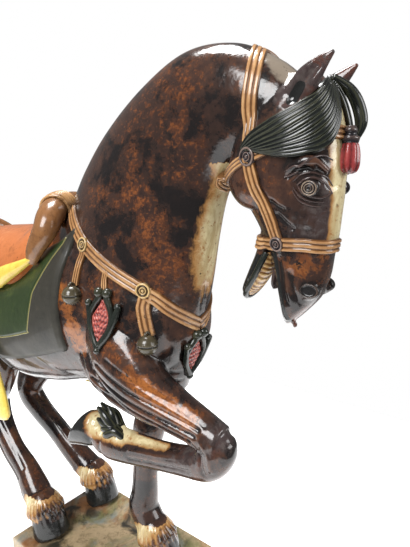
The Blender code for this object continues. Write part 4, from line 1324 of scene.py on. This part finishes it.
pieces.append(make("tongue", [limb([(189, 0, 336, 2.4, 6.4), (187, 0, 322, 2.4, 6),
                                    (185.5, 0, 313, 2.0, 5), (185.5, 0, 308.5, 1.2, 2.6)], 30, 24)],
                   GLAZES["fold"]))

print("ripples along the mouth bed:", round(BED_RIPPLES / (2 * math.pi)))

# %% [markdown]
# ## Forelock and tassel
#
# The forelock is swept to both sides from between the ears, the near side fuller. Real hair would be
# thousands of strands, but the potter combed ridges into a few rolls, so a few ridged tubes fan out
# between an upper and a lower line. The tassel and its knob are turned forms.

# %% Hair


def lock(route, size):
    """Ridged lock of hair: a tube of radius size sin(t)^0.6 with strands along it."""
    count = 44
    centre, normal = skin.nearest(spread(route, count))
    for _ in range(4):
        centre[1:-1] = (centre[:-2] + 2 * centre[1:-1] + centre[2:]) / 4
        normal[1:-1] = unit(normal[:-2] + 2 * normal[1:-1] + normal[2:])
    centre = centre + normal * 1.9
    run = unit(np.gradient(centre, axis=0))
    over = unit(np.cross(run, normal))
    out = np.cross(over, run)
    radius = size * np.sin(np.linspace(0.5, 2.9, count))**0.6
    turn = angles(36)
    strand = 1 + 0.12 * np.cos(6 * turn)
    rings = centre[:, None] + (radius[:, None] * strand)[..., None] * (
        over[:, None] * np.cos(turn)[None, :, None] + out[:, None] * np.sin(turn)[None, :, None])
    relief = 1.2 * np.cos(6 * turn)[None] * np.ones((count, 1)) - 0.2
    return closed(rings), np.append(relief.ravel(), (0, 0))


near_top = [(220, 5, 443), (211, 18, 426), (194, 24, 417), (181, 26, 411), (171, 27, 403)]
near_low = [(225, 3, 438), (234, 11, 420), (227, 20, 404), (205, 26, 399), (180, 27, 402)]
far_top = [(217, 5, 447), (213, 18, 436), (208, 23, 424), (208, 25, 412), (214, 25, 402)]
far_low = [(224, 3, 441), (231, 11, 430), (235, 17, 418), (234, 18, 409), (230, 18, 402)]
locks = []
for s, count, top, low, size in ((-1, 9, near_top, near_low, 2.5), (1, 6, far_top, far_low, 2.6)):
    for share in np.linspace(0, 1, count):
        route = np.array(top) * (1 - share) + np.array(low) * share
        locks.append(lock(route * (1, s, 1), size))
for i, (px, py, pz) in enumerate(((46, -44, 162), (40, -43, 169), (34, -42, 176), (30, -38, 184),
                                  (36, -41, 187), (29, -33, 186), (42, -36, 188), (34, -29, 182))):
    spike = limb([(64 - 0.5 * i, 0.4 * py - 21, 166, 3, 3), (56 - 0.5 * i, 0.7 * py - 11, 171, 4, 3.8),
                  (0.5 * px + 26, py, 0.55 * pz + 78, 4.3, 4.0), (px, py, pz, 1.4, 1.4)], 50, 30)
    locks.append((spike, np.append(np.tile(1.2 * np.cos(5 * angles(30)), 50), (0, 0))))
for o in (0.0, 1.0):
    loose = limb([(219, 4, 446, 2, 2), (225 + o, 13, 440, 3.2, 3.2), (230 + o, 17, 431, 3.7, 3.7),
                  (233 + o, 17 + o, 419, 3.3, 3.3), (230, 18 + o, 408, 1.6, 1.6)], 60, 30)
    comb = np.append(np.tile(1.2 * np.cos(6 * angles(30)), 60), (0, 0))
    locks.append((loose, comb))
pieces.append(tack("forelock_and_tuft", locks, GLAZES["hair"]))


def turned_about_z(centre_x, profile, sides=72, ribs=0, depth=0.0, below=0.0):
    """Turned form (z, radius, relief) about an upright axis, ribbed by cos(ribs * angle) below a height."""
    table = spread(profile, 6 * len(profile))
    turn = angles(sides)
    wave = 1 + depth * np.cos(ribs * turn)[None] * (table[:, :1] < below)
    r = table[:, 1:2] * wave
    rings = np.stack([centre_x + 0.9 * r * np.cos(turn), r * np.sin(turn),
                      table[:, :1] + 0 * turn], -1)
    relief = 0.55 * np.cos(ribs * turn)[None] * (table[:, :1] < below) + table[:, 2:3]
    return closed(rings), np.append(relief.ravel(), (0, 0))


TASSEL_X = 233.8
pieces.append(tack("forehead_knob", [turned_about_z(TASSEL_X, [
    (415.5, 3.0, 0.3), (413, 4.4, 0.5), (410.5, 3.8, -1), (408.6, 5.9, 0.7), (406.4, 5.6, -0.4),
    (405.0, 5.0, -1)])], GLAZES["knob"]))
pieces.append(tack("forehead_tassel", [turned_about_z(TASSEL_X, [
    (406, 4.6, -0.6), (404, 5.8, 0.2), (401, 6.6, 0.2), (397, 7.0, 0.3), (392, 6.8, 0),
    (388.5, 5.2, -0.3), (387.2, 2.5, -0.8)], ribs=9, depth=0.045, below=405)],
    GLAZES["tassel"]))

for piece in pieces:
    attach(piece, "root")
print("pieces:", len(pieces) + 1)

# %% [markdown]
# ## Slab, floor and light
#
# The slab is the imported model's own mesh with a mottled glaze. The floor is pale and plain. Shiny glaze
# shows what stands round it, so the white backdrop is bright for the camera and dimmer for reflections,
# and three soft square lights give the broad highlights on the crest and the barrel.

# %% Slab and floor
FLOOR_HALF = 0.5             # m
FLOOR_HEIGHT = -0.0005       # m, just under the slab
slab = frame["nodes"]["base"]
slab.data.materials.clear()
slab.data.materials.append(GLAZES["base"])

floor_mesh = bpy.data.meshes.new("floor")
floor_mesh.from_pydata([(i * FLOOR_HALF, j * FLOOR_HALF, FLOOR_HEIGHT)
                        for i, j in ((-1, -1), (1, -1), (1, 1), (-1, 1))], [], [(0, 1, 2, 3)])
floor = bpy.data.objects.new("floor", floor_mesh)
bpy.context.scene.collection.objects.link(floor)
floor_paint = bpy.data.materials.new("pale_floor")
floor_paint.use_nodes = True
floor_shader = floor_paint.node_tree.nodes["Principled BSDF"]
floor_shader.inputs["Base Color"].default_value = (0.9, 0.9, 0.9, 1)
floor_shader.inputs["Roughness"].default_value = 0.7
floor_shader.inputs["Emission Color"].default_value = (1, 1, 1, 1)
floor_shader.inputs["Emission Strength"].default_value = 0.62
floor_mesh.materials.append(floor_paint)

print("floor:", 2 * FLOOR_HALF, "m wide")

# %% Backdrop and lights
ROOM_LIGHT = 0.22            # the room round the white backdrop is dimmer than the backdrop
world = bpy.data.worlds.new("studio")
bpy.context.scene.world = world
world.use_nodes = True
backdrop = world.node_tree.nodes["Background"]
backdrop.inputs["Color"].default_value = (1, 1, 1, 1)
studio_wiring = Wiring(world.node_tree)
seen = studio_wiring.add("ShaderNodeLightPath").outputs["Is Camera Ray"]
studio_wiring.plug(backdrop, "Strength", studio_wiring.math("MULTIPLY_ADD", seen, 1.0 - ROOM_LIGHT,
                                                            ROOM_LIGHT))
bpy.context.scene.view_settings.view_transform = "Standard"


def softbox(name, place, aim, size, power):
    """Square soft light at a place, aimed at a point."""
    data = bpy.data.lights.new(name, "AREA")
    data.shape = "SQUARE"
    data.size = size
    data.energy = power
    lamp = bpy.data.objects.new(name, data)
    bpy.context.scene.collection.objects.link(lamp)
    lamp.location = place
    lamp.rotation_euler = (Vector(place) - Vector(aim)).to_track_quat("Z", "Y").to_euler()
    return lamp


softbox("key", (0.1, -1.5, 1.5), (0, 0, 0.25), 1.0, 58)
softbox("fill", (1.7, 0.5, 0.9), (0, 0, 0.3), 1.0, 24)
softbox("top", (-0.4, 0.2, 1.9), (0, 0, 0.3), 0.7, 42)
